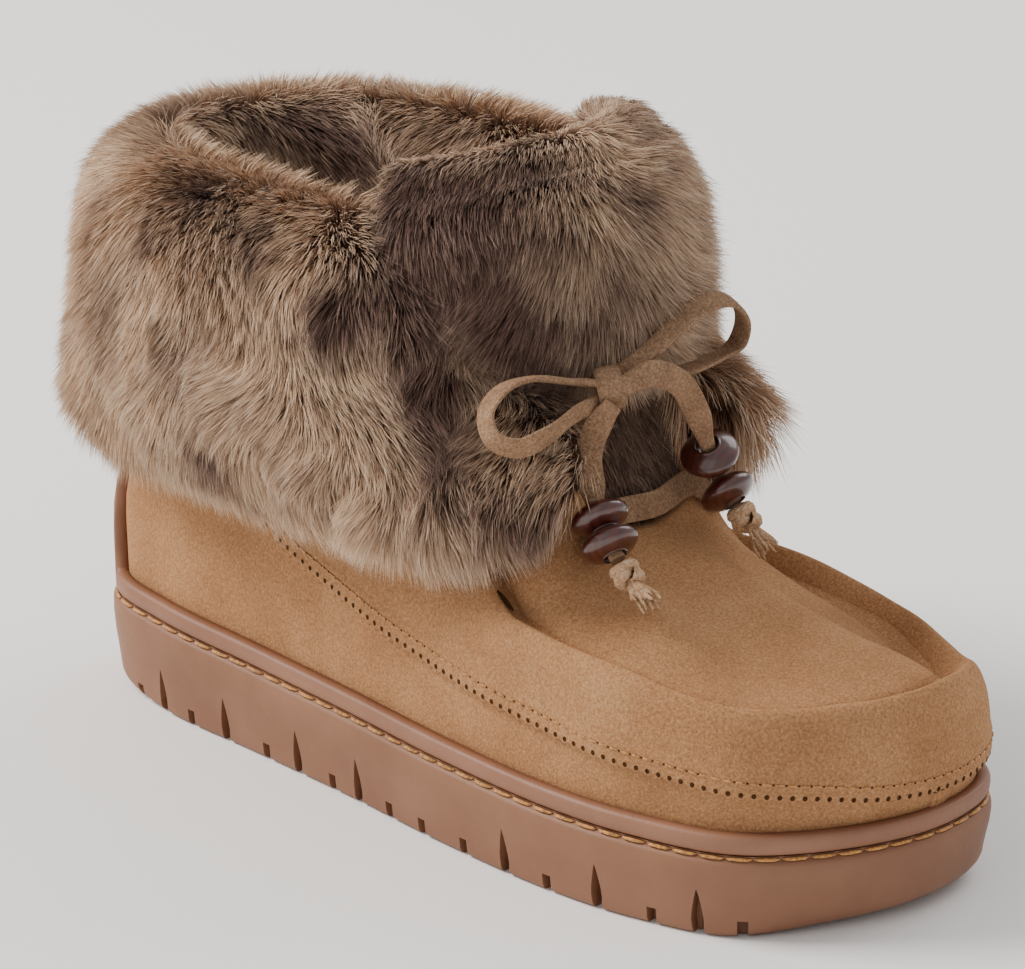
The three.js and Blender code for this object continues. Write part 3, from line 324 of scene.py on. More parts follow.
def leg_point(cols, opening, inset, z):
    share = ease((z - ANKLE_START) / (ANKLE_HEIGHT - ANKLE_START))[..., None]
    low = cols.point - cols.out * np.asarray(inset)[..., None]
    p = mix(low, opening * np.array([1, 1, 0]), share)
    p[..., 2] = z
    return p


def upper_controls(cols):
    opening = opening_point(cols)
    apron = apron_share(cols)[..., None]
    foot = RAND_THICKNESS + GAP
    bottom = side_height(cols.along) + GAP
    seam = read(SEAM_AND_RIM, "along", cols.along, "seam") * RIM_HEIGHT
    rim = np.where(
        cols.side < 0,
        read(SEAM_AND_RIM, "along", cols.along, "rim"),
        read(SEAM_AND_RIM, "along", cols.along, "inner_rim"),
    ) * RIM_HEIGHT
    flare = TOE_FLARE * (0.45 + 0.55 * ease((cols.along - 0.75) / 0.2)) * ease((cols.along - 0.3) / 0.2)

    def inset(amount, z):
        p = cols.point - cols.out * np.broadcast_to(amount, z.shape)[..., None]
        p[..., 2] = z
        return p

    leg_seam = np.minimum(seam, mix(bottom, opening[..., 2], 0.62))
    seam_point = mix(leg_point(cols, opening, foot - flare, leg_seam), inset(foot - flare, seam), apron)
    halfway = mix(
        leg_point(cols, opening, foot - flare * 0.35, (bottom + leg_seam) / 2),
        inset(foot - flare * 0.35, (bottom + seam) / 2),
        apron,
    )

    def leg(share):
        return leg_point(cols, opening, foot + 0 * seam, mix(leg_seam, opening[..., 2], share))

    roll = RIM_ROLL * (1 + 0.3 * ease((cols.along - 0.85) / 0.12))
    shoulder = mix(leg(0.18), inset(foot - 0.4, rim - roll * 0.55), apron)
    crest = mix(leg(0.36), inset(foot + roll * 0.28, rim), apron)
    inner = ease((1 - cols.turn) / 0.13) * (cols.side > 0)
    crease = inset(foot + roll * mix(0.64, 1.2, inner), rim - roll * mix(0.14, 0.42, inner))
    middle = mix(crease, opening, 0.5) - np.array([0, 0, APRON_SAG])
    return np.stack([
        inset(foot, bottom), halfway, seam_point, shoulder, crest,
        mix(leg(0.54), crease, apron), mix(leg(0.77), middle, apron), opening,
    ], axis=-2)


def upper_frame(turn, side, level):
    """Points and outward normals of the plain upper, one for each column and level."""
    turn, side, level = np.broadcast_arrays(*(np.asarray(v, float) for v in (turn, side, level)))
    step = 0.002

    def at(t, s):
        return through(upper_controls(Columns(t, side)), s[:, None])[:, 0]

    share = np.clip(level / LEVELS, 0, 1)
    point = at(turn, share)
    up = at(turn, np.minimum(1, share + step)) - at(turn, np.maximum(0, share - step))
    across = (at(turn + step, share) - at(turn - step, share)) * np.where(side < 0, 1, -1)[:, None]
    return point, unit(np.cross(across, up))


def upper_grid(cols, levels):
    """The plain upper over all columns and levels, with its outward normals."""
    share = np.broadcast_to(np.asarray(levels) / LEVELS, (len(cols.turn), len(levels)))
    grid = through(upper_controls(cols), share)
    across = np.roll(grid, -1, axis=0) - np.roll(grid, 1, axis=0)
    up = np.gradient(grid, axis=1)
    return grid, unit(np.cross(across, up))


# Meshes

def make_mesh(name, points, faces, smooth=True):
    """A mesh object from points in millimetres and faces of one size."""
    faces = np.asarray(faces, dtype=np.int32)
    mesh = bpy.data.meshes.new(name)
    mesh.vertices.add(len(points))
    mesh.vertices.foreach_set("co", (np.asarray(points, dtype=np.float32) * MM).ravel())
    mesh.loops.add(faces.size)
    mesh.loops.foreach_set("vertex_index", faces.ravel())
    mesh.polygons.add(len(faces))
    mesh.polygons.foreach_set("loop_start", np.arange(0, faces.size, faces.shape[1], dtype=np.int32))
    mesh.update(calc_edges=True)
    mesh.polygons.foreach_set("use_smooth", np.full(len(faces), smooth))
    mesh.validate()
    return place_mesh(mesh)


def place_mesh(mesh):
    piece = bpy.data.objects.new(mesh.name, mesh)
    bpy.context.scene.collection.objects.link(piece)
    return piece


def mixed_mesh(name, points, faces):
    """A mesh object from points in millimetres and faces of several sizes."""
    mesh = bpy.data.meshes.new(name)
    mesh.from_pydata((np.asarray(points) * MM).tolist(), [], faces)
    return place_mesh(mesh)


def grid_faces(rows, across, close_rows=False, close_across=False):
    i, j = np.meshgrid(np.arange(rows if close_rows else rows - 1),
                       np.arange(across if close_across else across - 1), indexing="ij")
    i, j = i.ravel(), j.ravel()
    k, l = (i + 1) % rows, (j + 1) % across
    return np.stack([i * across + j, k * across + j, k * across + l, i * across + l], axis=-1)


def capped_tube(rings):
    """Points and faces of a tube of closed sections with a fan over each end."""
    count, across = rings.shape[:2]
    ends = [rings[0].mean(axis=0)[None], rings[-1].mean(axis=0)[None]]
    faces = [list(f) for f in grid_faces(count, across, close_across=True)]
    first, last, start = count * across, count * across + 1, (count - 1) * across
    faces += [[first, j, (j + 1) % across] for j in range(across)]
    faces += [[last, start + (j + 1) % across, start + j] for j in range(across)]
    return np.concatenate([rings.reshape(-1, 3), *ends]), faces


def face_outward(piece):
    form = bmesh.new()
    form.from_mesh(piece.data)
    bmesh.ops.recalc_face_normals(form, faces=form.faces)
    form.to_mesh(piece.data)
    form.free()


def apply_modifiers(piece):
    seen = piece.evaluated_get(bpy.context.evaluated_depsgraph_get())
    mesh = bpy.data.meshes.new_from_object(seen)
    piece.modifiers.clear()
    piece.data = mesh


def shade_by_angle(piece, degrees):
    piece.data.polygons.foreach_set("use_smooth", np.ones(len(piece.data.polygons), bool))
    piece.data.set_sharp_from_angle(angle=math.radians(degrees))


def dress(piece, material, slot, *nodes):
    """Gives a piece its material and its place on the boot."""
    piece.data.materials.clear()
    piece.data.materials.append(material)
    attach(piece, "root")
    if nodes:
        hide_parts(*nodes)
    return piece


def waves(points, size, seed, count=12):
    """Soft random undulation between about -1 and 1, with features of about one size in mm."""
    own = np.random.default_rng(seed)
    directions = unit(own.normal(size=(count, 3))) * own.uniform(0.6, 1.5, (count, 1)) * math.pi / size
    phase = own.uniform(0, 2 * math.pi, count)
    return np.sin(points @ directions.T + phase).sum(axis=-1) / math.sqrt(count / 2)


def undulation(points):
    """The suede's own soft unevenness, in millimetres."""
    return 0.35 * waves(points, 26.0, 3) + 0.10 * waves(points, 9.0, 5)


# Materials

def linear(hex_colour):
    values = [int(hex_colour[i:i + 2], 16) / 255 for i in (1, 3, 5)]
    return tuple(v / 12.92 if v <= 0.04045 else ((v + 0.055) / 1.055) ** 2.4 for v in values) + (1.0,)


def node(tree, kind, settings=(), **links):
    """Adds a node: settings are its own properties and socket values, links feed its inputs."""
    made = tree.nodes.new(kind)
    for name, value in dict(settings).items():
        if name in made.inputs:
            made.inputs[name].default_value = value
        else:
            setattr(made, name, value)
    for name, source in links.items():
        tree.links.new(source, made.inputs[name.replace("_", " ")])
    return made


def new_material(name, **constants):
    material = bpy.data.materials.new(name)
    material.use_nodes = True
    surface = material.node_tree.nodes["Principled BSDF"]
    for socket, value in constants.items():
        surface.inputs[socket.replace("_", " ")].default_value = value
    return material, material.node_tree, surface


def ramp_colours(ramp, stops):
    """Sets a colour ramp's stops from (place, sRGB hex) pairs."""
    elements = ramp.color_ramp.elements
    while len(elements) > len(stops):
        elements.remove(elements[-1])
    while len(elements) < len(stops):
        elements.new(1.0)
    for element, (place, colour) in zip(elements, stops):
        element.position = place
        element.color = linear(colour)


def spot(size_mm):
    """The noise scale, in object coordinates, whose features are about this many millimetres wide."""
    return 1000.0 / size_mm


def patterned_material(name, pattern, stops, kind="ShaderNodeTexNoise", **constants):
    """A material whose base colour follows one pattern through the object, in sRGB stops."""
    material, tree, surface = new_material(name, **constants)
    where = node(tree, "ShaderNodeTexCoord").outputs["Object"]
    value = node(tree, kind, pattern, Vector=where).outputs["Fac"]
    ramp = node(tree, "ShaderNodeValToRGB", Fac=value)
    ramp_colours(ramp, stops)
    tree.links.new(ramp.outputs["Color"], surface.inputs["Base Color"])
    return material, tree, surface, where


# Brushed split suede, napped: the nap gives no gloss, fine flecks of light and dark, and faint mottling
def suede_material(name, dark, middle, light, mottle_mm=20.0):
    material, tree, surface = new_material(name, Roughness=0.95, Specular_IOR_Level=0.12, IOR=1.45,
                                           Sheen_Weight=0.12, Sheen_Roughness=0.5)
    surface.inputs["Sheen Tint"].default_value = linear("#E9C195")
    where = node(tree, "ShaderNodeTexCoord").outputs["Object"]
    mottle = node(tree, "ShaderNodeTexNoise", {"Scale": spot(mottle_mm), "Detail": 3.0, "Roughness": 0.5},
                  Vector=where).outputs["Fac"]
    # The nap is near 0.4 mm, drawn at 0.65 mm so that it shows
    nap = node(tree, "ShaderNodeTexNoise", {"Scale": spot(0.65), "Detail": 3.0, "Roughness": 0.7},
               Vector=where).outputs["Fac"]
    flecked = node(tree, "ShaderNodeMix", {"data_type": "FLOAT", "Factor": 0.75}, A=mottle, B=nap)
    ramp = node(tree, "ShaderNodeValToRGB", Fac=flecked.outputs[0])
    ramp_colours(ramp, [(0.36, dark), (0.5, middle), (0.64, light)])
    tree.links.new(ramp.outputs["Color"], surface.inputs["Base Color"])
    bump = node(tree, "ShaderNodeBump", {"Strength": 0.45, "Distance": 0.0006}, Height=nap)
    tree.links.new(bump.outputs["Normal"], surface.inputs["Normal"])
    return material


# Moulded crepe-brown rubber: low even gloss over a fine moulded grain, a little dusty
def rubber_material(name, dark, light, roughness=0.55):
    # The dust lies in patches near 30 mm wide
    material, tree, surface, where = patterned_material(
        name, {"Scale": spot(30.0), "Detail": 4.0}, [(0.35, dark), (0.65, light)],
        Roughness=roughness, IOR=1.5, Specular_IOR_Level=0.4)
    # The moulded grain is near 0.5 mm, drawn at 1 mm so that it shows
    grain = node(tree, "ShaderNodeTexNoise", {"Scale": spot(1.0), "Detail": 3.0}, Vector=where)
    bump = node(tree, "ShaderNodeBump", {"Strength": 0.18, "Distance": 0.0005}, Height=grain.outputs["Fac"])
    tree.links.new(bump.outputs["Normal"], surface.inputs["Normal"])
    return material


# Modacrylic pile: each hair is dark plum brown at its root and pale beige at its tip. Its shade attribute
# darkens groups of hairs, partly as the pile's own mottling and partly as painted shade, and is lessened on
# the cuff's far front end as painted light. It has a soft silky gloss.
def pile_material(name):
    material, tree, surface = new_material(name, Roughness=0.62, Specular_IOR_Level=0.25, IOR=1.5,
                                           Sheen_Weight=0.12, Sheen_Roughness=0.4)
    tip = node(tree, "ShaderNodeAttribute", {"attribute_name": "tip"}).outputs["Fac"]
    shade = node(tree, "ShaderNodeAttribute", {"attribute_name": "shade"}).outputs["Fac"]
    pale = node(tree, "ShaderNodeValToRGB", Fac=tip)
    ramp_colours(pale, [(0.0, "#6A4E3D"), (0.35, "#AB876A"), (0.75, "#E2C3A3"), (1.0, "#F7E1C8")])
    deep = node(tree, "ShaderNodeValToRGB", Fac=tip)
    ramp_colours(deep, [(0.0, "#2C1B17"), (0.45, "#513932"), (0.8, "#7E6154"), (1.0, "#B59A86")])
    both = node(tree, "ShaderNodeMix", {"data_type": "RGBA"})
    tree.links.new(shade, both.inputs[0])
    tree.links.new(pale.outputs["Color"], both.inputs[6])
    tree.links.new(deep.outputs["Color"], both.inputs[7])
    tree.links.new(both.outputs[2], surface.inputs["Base Color"])
    return material


# The pile's knitted backing, seen only between the hairs: matt, and painted dark brown as painted shade
# there
def backing_shade_material():
    # The knit's stitches are near 1 mm wide
    return patterned_material(
        "pile_backing_shade", {"Scale": spot(1.0), "Detail": 2.0}, [(0.3, "#2C1C15"), (0.7, "#523827")],
        Roughness=0.95, Specular_IOR_Level=0.1, IOR=1.45)[0]


# Turned hardwood stained red brown under a thick clear lacquer: sharp highlights over a faint grain
def bead_material():
    # The wood's grain lines are near 1 mm apart
    return patterned_material(
        "lacquered_wood", {"Scale": spot(6.0), "Distortion": 6.0, "Detail": 3.0},
        [(0.2, "#3C130A"), (0.8, "#4C1B0F")], kind="ShaderNodeTexWave",
        Roughness=0.35, IOR=1.5, Coat_Weight=0.9, Coat_Roughness=0.08, Coat_IOR=1.5)[0]


# Spun polyester thread: a soft even sheen
def thread_material(name, colour):
    # The thread's twist is near 0.4 mm, drawn at 0.8 mm so that it shows
    return patterned_material(
        name, {"Scale": spot(0.8), "Detail": 2.0}, [(0.3, "#7A5632"), (0.6, colour)],
        Roughness=0.6, Specular_IOR_Level=0.3, IOR=1.5, Sheen_Weight=0.2)[0]


# The punched holes and the gap under the thread: bare dark suede edge in shadow
def hole_material():
    # Fibres in the hole are near 0.4 mm
    return patterned_material(
        "punched_hole", {"Scale": spot(0.4)}, [(0.3, "#2A1810"), (0.7, "#54381F")],
        Roughness=1.0, Specular_IOR_Level=0.05)[0]


# Plain matt studio floor
def floor_material():
    material, tree, surface = new_material("studio_floor", Roughness=0.9, Specular_IOR_Level=0.1)
    surface.inputs["Base Color"].default_value = linear("#F7F6F5")
    return material


SUEDE_MATERIAL = suede_material("brushed_suede", "#8C6242", "#A67852", "#BA8F67")
LACE_MATERIAL = suede_material("suede_lace", "#6E5440", "#8C6D54", "#A6876B", mottle_mm=6.0)
FRAY_MATERIAL = suede_material("frayed_suede", "#8C684C", "#B4906F", "#D2B393", mottle_mm=3.0)
SOLE_MATERIAL = rubber_material("moulded_rubber", "#7D543C", "#8D6349")
# The rand is the sole's own rubber, painted a little lighter: painted light on the rounded band
RAND_MATERIAL = rubber_material("rubber_rand", "#815841", "#92674F", roughness=0.5)
# The tongue's suede is painted much darker than the upper's: painted shade for the throat's dark inside
TONGUE_MATERIAL = suede_material("shaded_suede", "#3F2A1C", "#543A28", "#684A35")
INSOLE_MATERIAL = suede_material("fleece_insole", "#4C3322", "#6B4A31", "#805C3F", mottle_mm=5.0)
PILE_MATERIAL = pile_material("fur_pile")
BACKING_SHADE_MATERIAL = backing_shade_material()
BEAD_MATERIAL = bead_material()
SOLE_THREAD_MATERIAL = thread_material("golden_thread", "#D0914A")
VAMP_THREAD_MATERIAL = thread_material("golden_brown_thread", "#C48A4E")
HOLE_MATERIAL = hole_material()


# The upper

FINE_COLUMNS = 380
CREASE_SIDE_MM = 4.4
APRON_SIDE_MM = 20.0
fine = all_round(FINE_COLUMNS)


def crease_depth(cols, levels):
    """Depth in millimetres of the pressed crease: a keen groove in a wider hollow."""
    beside = levels - CREASE_LEVEL
    away = np.where(beside < 0, -beside * CREASE_SIDE_MM, beside * APRON_SIDE_MM)
    depth = 1.9 * np.exp(-((away / 1.2) ** 2)) + 1.3 * np.exp(-((away / 4.0) ** 2))
    return apron_share(cols)[:, None] * depth[None, :]


def seam_level_for(cols, rise_mm, level=SEAM_LEVEL):
    """The level that lies this many millimetres above the overlap seam along the surface."""
    low, _ = upper_frame(cols.turn, cols.side, level)
    high, _ = upper_frame(cols.turn, cols.side, level + 0.2)
    return level + 0.2 * rise_mm / np.linalg.norm(high - low, axis=-1)


def add_upper():
    levels = np.concatenate([
        np.linspace(0, 1.9, 9), np.linspace(1.98, 2.1, 4), np.linspace(2.2, 4.0, 18),
        np.linspace(4.08, 4.92, 15), np.linspace(4.96, 5.06, 6), np.linspace(5.09, 5.5, 14),
        np.linspace(5.58, 7.0, 18),
    ])
    grid, normal = upper_grid(fine, levels)
    step = SEAM_STEP * (levels < STEP_LEVEL)[None, :]
    soft = undulation(grid) * ease((levels - 0.1) / 0.8)[None, :]
    outside = grid + normal * (soft - step - crease_depth(fine, levels))[..., None]
    inner_levels = np.linspace(0, LEVELS, 18)
    inner, inner_normal = upper_grid(fine, inner_levels)
    inner = inner - inner_normal * (SUEDE + SEAM_STEP * (inner_levels < STEP_LEVEL))[None, :, None]
    for ring in (outside[:, 0], inner[:, 0]):
        ring[:, 2] = side_height(fine.along) + GAP
    rings = np.concatenate([outside, inner[:, ::-1]], axis=1)
    faces = grid_faces(FINE_COLUMNS, rings.shape[1], close_rows=True, close_across=True)
    dress(make_mesh("suede_upper", rings.reshape(-1, 3), faces[:, ::-1]), SUEDE_MATERIAL, "suede", "upper")


add_upper()

HOLE_PITCH = 3.0
HOLE_WIDTH = 1.4
STITCH_ABOVE = 3.1
HOLES_START = 0.262
SCALLOP = 1.1


def along_seam(spacing, start):
    """Evenly spaced columns along the overlap seam, from the outer side round the toe to the inner."""
    step = np.linspace(start, 2 - start, 1600)
    fine_cols = columns_round(step)
    line, _ = upper_frame(fine_cols.turn, fine_cols.side, SEAM_LEVEL)
    run = np.concatenate([[0], np.cumsum(np.linalg.norm(np.diff(line, axis=0), axis=1))])
    wanted = np.arange(0, run[-1], spacing)
    return columns_round(np.interp(wanted, run, step)), wanted


def add_vamp_edge():
    """The vamp wall's pinked edge, lying a step proud of the lower panel."""
    cols, run = along_seam(HOLE_PITCH / 8, HOLES_START - 0.01)
    scallop = -1.2 - SCALLOP * (0.5 + 0.5 * np.cos(run / HOLE_PITCH * 2 * math.pi))
    rows = []
    section = [(scallop, -1.08), (scallop, -0.05), (scallop + 0.3, 0.34), (0.0, 0.38), (1.6, 0.36),
               (3.1, 0.30), (5.0, 0.24), (8.0, -0.9)]
    for rise, offset in section:
        point, normal = upper_frame(cols.turn, cols.side, seam_level_for(cols, rise))
        rows.append(point + normal * (offset + undulation(point))[..., None])
    grid = np.stack(rows, axis=1)
    faces = grid_faces(len(run), len(rows))
    dress(make_mesh("vamp_edge", grid.reshape(-1, 3), faces[:, ::-1]), SUEDE_MATERIAL, "suede")


def basis(normal, along):
    along = unit(along - normal * np.sum(along * normal, axis=-1, keepdims=True))
    return along, np.cross(normal, along)


def discs(centres, normal, along, length, width, lift, sides=10):
    """Small flat ovals on a surface, one for each centre, as one mesh's points and faces."""
    forward, across = basis(normal, along)
    angle = np.arange(sides) / sides * 2 * math.pi
    ring = (forward[:, None] * (np.cos(angle) * length / 2)[None, :, None]
            + across[:, None] * (np.sin(angle) * width / 2)[None, :, None])
    points = centres[:, None] + ring + normal[:, None] * lift
    faces = np.arange(len(centres) * sides).reshape(-1, sides)
    return points.reshape(-1, 3), faces


def stitches(centres, normal, along, length, width, lift, sides=6):
    """Short stretches of thread pressed into a surface, thick in the middle and sunk at both ends."""
    forward, across = basis(normal, along)
    places = np.array([-0.5, -0.36, 0.0, 0.36, 0.5])
    thick = np.array([0.35, 0.85, 1.0, 0.85, 0.35])
    sink = np.array([-0.9, -0.1, 0.12, -0.1, -0.9])
    angle = np.arange(sides) / sides * 2 * math.pi
    rings = (centres[:, None, None]
             + forward[:, None, None] * (places * length)[None, :, None, None]
             + normal[:, None, None] * (lift + sink * width / 2)[None, :, None, None]
             + across[:, None, None] * (thick[:, None] * np.cos(angle) * width / 2)[None, ..., None]
             + normal[:, None, None] * (thick[:, None] * np.sin(angle) * width / 2)[None, ..., None])
    one = grid_faces(len(places), sides, close_across=True)
    count = len(places) * sides
    faces = (one[None] + (np.arange(len(centres)) * count)[:, None, None]).reshape(-1, 4)
    return rings.reshape(-1, 3), faces


def surface_spots(cols, rise):
    """Points, normals and run of the seam's line, this many millimetres above it."""
    point, normal = upper_frame(cols.turn, cols.side, seam_level_for(cols, rise))
    along = np.gradient(point, axis=0)
    return point + normal * undulation(point)[:, None], normal, along


def add_vamp_holes_and_thread():
    cols, _ = along_seam(HOLE_PITCH, HOLES_START)
    point, normal, along = surface_spots(cols, 0.0)
    points, faces = discs(point, normal, along, HOLE_WIDTH * 0.9, HOLE_WIDTH, 0.42, sides=7)
    dress(make_mesh("vamp_holes", points, faces), HOLE_MATERIAL, "suede")
    point, normal, along = surface_spots(cols, STITCH_ABOVE)
    points, faces = stitches(point, normal, along, HOLE_PITCH * 0.84, 0.6, 0.40)
    dress(make_mesh("vamp_thread", points, faces), VAMP_THREAD_MATERIAL, "suede")
    forward, _ = basis(normal, along)
    points, faces = discs(point + forward * HOLE_PITCH / 2, normal, along, 0.7, 0.55, 0.36, sides=8)
    dress(make_mesh("vamp_pinholes", points, faces), HOLE_MATERIAL, "suede")


QUARTER_GAP_SHADOW = {"turn": 0.583, "level": 4.35, "length": 7.5, "width": 1.5}
PANEL_SEAM_TURN = 0.979


def add_quarter_gap_shadow():
    """A dark oval at the near quarter's front edge, where it meets the vamp: painted shadow in the gap
    between them.
    """
    at = np.array([-0.15, 0.0, 0.15]) + QUARTER_GAP_SHADOW["level"]
    line, normal = upper_frame(np.full(3, QUARTER_GAP_SHADOW["turn"]), np.full(3, -1), at)
    points, faces = discs(line[1:2], normal[1:2], np.array([[0, 0, 1.0]]), QUARTER_GAP_SHADOW["length"],
                          QUARTER_GAP_SHADOW["width"], 0.3, sides=14)
    dress(make_mesh("quarter_gap_shadow", points, faces), HOLE_MATERIAL, "suede")


def add_panel_seam():
    """The short upright seam near the toe where the lower panel's ends overlap."""
    level = np.linspace(0.12, 1.72, 30)
    line, normal = upper_frame(np.full(30, PANEL_SEAM_TURN), np.full(30, -1), level)
    line = line - normal * SEAM_STEP
    along = np.gradient(line, axis=0)
    _, across = basis(normal, along)
    line = line + normal * (undulation(line) * ease((level - 0.1) / 0.8))[:, None]
    rows = [(-0.3, -0.4), (0.0, 0.55), (1.2, 0.6), (4.0, 0.3), (7.0, -0.5)]
    grid = np.stack([line - across * step + normal * rise for step, rise in rows], axis=1)
    piece = make_mesh("panel_overlap", grid.reshape(-1, 3), grid_faces(30, len(rows)))
    dress(piece, SUEDE_MATERIAL, "suede")
    middle = line[3::5] - across[3::5] * 1.6
    points, faces = stitches(middle, normal[3::5], along[3::5], 2.4, 0.55, 0.6)
    dress(make_mesh("panel_seam_thread", points, faces), VAMP_THREAD_MATERIAL, "suede")


add_vamp_edge()
add_vamp_holes_and_thread()
add_quarter_gap_shadow()
add_panel_seam()


# The rubber sole

def ring_points(cols, inset, height):
    p = cols.point - cols.out * np.broadcast_to(inset, cols.turn.shape)[:, None]
    p[:, 2] = height
    return p


def cutter_prism(shape, col_point, out, lift):
    """A side cut's cutter: an outline in tangent and height, pushed in along the outline's normal."""
    tangent = np.array([-out[1], out[0], 0.0])
    front = [col_point + tangent * a + np.array([0, 0, lift + b]) + out * CUT_DEPTH for a, b in shape]
    back = [p - out * CUT_DEPTH * 2 for p in front]
    return np.array(front + back)


def prism_faces(count):
    sides = [[i, (i + 1) % count, count + (i + 1) % count, count + i] for i in range(count)]
    return [list(range(count))[::-1], list(range(count, 2 * count))] + sides


def add_outsole():
    cols = fine
    lift = tread_lift(cols.along)
    top = side_height(cols.along)
    ends = ease((cols.along - 0.88) / 0.09) + ease((0.16 - cols.along) / 0.12)
    corner = SOLE_EDGE_ROUND + SOLE_END_ROUND * ends
    rows = [(SOLE_TAPER + corner * (1 - math.sin(a)), lift + corner * (1 - math.cos(a)))
            for a in np.linspace(0, math.pi / 2, 7)]
    rows += [
        (SOLE_TAPER * 0.62, mix(lift + corner, top, 0.25)),
        (SOLE_TAPER * 0.2, mix(lift + corner, top, 0.5)),
        (0.0, mix(lift + corner, top, 0.72)),
        (0.05, top - 2.2),
        (0.3, top - 1.6),
        (STITCH_GROOVE - 0.2, top - 1.2),
        (STITCH_GROOVE + 0.5, top - 0.8),
        (STITCH_GROOVE + 0.5, top),
    ]
    rings = [ring_points(cols, inset, height) for inset, height in rows]
    count = FINE_COLUMNS
    points = np.concatenate(rings)
    faces = [list(f) for f in grid_faces(len(rows), count, close_across=True)]
    for start, flip in ((0, True), ((len(rows) - 1) * count, False)):
        for c in range(count // 2):
            a, b = start + c, start + c + 1
            d, e = start + (count - c) % count, start + count - c - 1
            quad = [a, b] + ([e] if e != b else []) + ([d] if d != a else [])
            faces.append(quad[::-1] if flip else quad)
    sole = mixed_mesh("rubber_sole", points, faces)
    cutters, cutter_faces = [], []
    slit_edge = [(0.3, -CUT_BELOW / SLIT_HEIGHT), (0.42, 0.1), (0.5, 0.3), (0.46, 0.46), (0.34, 0.64),
                 (0.16, 0.86)]
    slit = slit_edge + [(0, 1)] + [(-a, b) for a, b in slit_edge[::-1]]
    slit = slit[-1:] + slit[:-1]
    notch_foot = -CUT_BELOW / NOTCH_HEIGHT
    notch = [(-0.5, notch_foot), (0.5, notch_foot), (0.5, 1), (-0.5, 1)]
    base = 0
    for turns, shape, width, height in ((TALL_CUTS, slit, SLIT_WIDTH, SLIT_HEIGHT),
                                        (SHORT_CUTS, notch, NOTCH_WIDTH, NOTCH_HEIGHT)):
        for turn in turns:
            for side in (-1, 1):
                col = Columns([turn], [side])
                sized = [(a * width, b * height) for a, b in shape]
                points = cutter_prism(sized, col.point[0], col.out[0], float(tread_lift(col.along)[0]))
                cutters.append(points)
                cutter_faces += [[v + base for v in f] for f in prism_faces(len(sized))]
                base += len(points)
    for turn in TALL_CUTS:
        outer, inner = (Columns([turn], [s]).point[0] for s in (-1, 1))
        middle, across = (outer + inner) / 2, unit(inner - outer)
        middle[2] = float(tread_lift(np.array([middle[0] / SOLE_LENGTH + 0.5]))[0])
        sideways = np.array([-across[1], across[0], 0])
        reach, half = np.linalg.norm(inner - outer) * 0.55, TREAD_WIDTH / 2
        box = [middle + across * reach * sx + sideways * half * sy + np.array([0, 0, sz * TREAD_DEPTH])
               for sz in (-1, 1) for sx, sy in ((-1, -1), (1, -1), (1, 1), (-1, 1))]
        cutters.append(np.array(box))
        cutter_faces += [[v + base for v in f] for f in prism_faces(4)]
        base += 8
    tool = mixed_mesh("cuts", np.concatenate(cutters), cutter_faces)
    tool.data.validate()
    for piece in (sole, tool):
        face_outward(piece)
    cut = sole.modifiers.new("cuts", "BOOLEAN")
    cut.operation, cut.solver, cut.use_self, cut.object = "DIFFERENCE", "EXACT", True, tool
    apply_modifiers(sole)
    bpy.data.objects.remove(tool)
    shade_by_angle(sole, 40)
    dress(sole, SOLE_MATERIAL, "rubber", "outsole")


add_outsole()


def guard_rise(cols):
    away = cols.turn * OUTLINE_PERIMETER / 2 - GUARD_HALF_WIDTH
    return ease((3 - away) / 6)


def add_rand():
    """The rubber rand above the stitched groove, and the guard that it forms up the heel."""
    cols = all_round(560)
    low = side_height(cols.along) + GAP
    guard = guard_rise(cols)
    top = mix(low + RAND_HEIGHT, GUARD_HEIGHT, guard)
    controls = upper_controls(cols)
    bend = controls[:, 1, 2]
    seam = controls[:, 2, 2]
    outside = [(0.0, -0.8), (0.03, 0.1), (0.14, 0.75), (0.32, 1.0), (0.55, 1.0), (0.78, 0.7), (0.93, 0.1),
               (1.0, -0.9)]
    section = [(share, RAND_THICKNESS + bulge * mix(RAND_BULGE, RAND_BULGE * 0.5, guard))
               for share, bulge in outside]
    section += [(share, 0.05 + 0 * guard) for share in (1.0, 0.5, 0.0)]
    rows = []
    for share, thick in section:
        z = mix(low, top, share)
        level = np.where(z < bend, (z - low) / (bend - low), 1 + (z - bend) / (seam - bend))
        point, normal = upper_frame(cols.turn, cols.side, level)
        p = point + normal * (thick - SEAM_STEP)[:, None]
        p[:, 2] = z
        rows.append(p)
    grid = np.stack(rows, axis=1)
    faces = grid_faces(len(cols.turn), grid.shape[1], close_rows=True, close_across=True)
    dress(make_mesh("rubber_rand", grid.reshape(-1, 3), faces[:, ::-1]), RAND_MATERIAL, "rubber", "rand")


add_rand()

SOLE_STITCH_PITCH = 6.7


def add_sole_thread():
    """Golden lockstitch lying in the groove between the sole's side and the rand."""
    count = int(OUTLINE_PERIMETER / SOLE_STITCH_PITCH)
    cols = columns_round(2 * (np.arange(count) + 0.5) / count)
    centre = ring_points(cols, STITCH_GROOVE - 0.1, side_height(cols.along) - 0.55)
    along = np.gradient(centre, axis=0)
    points, faces = stitches(centre, cols.out, along, SOLE_STITCH_PITCH * 0.9, 0.95, 0.0, sides=6)
    dress(make_mesh("sole_thread", points, faces), SOLE_THREAD_MATERIAL, "rubber")


add_sole_thread()


# The lace: a flat band along a route, with its flat face turned to a direction at each point

def on_route(route, share):
    """Points of a route at shares of the way along it."""
    return through(np.asarray(route)[None], np.asarray(share)[None])[0]


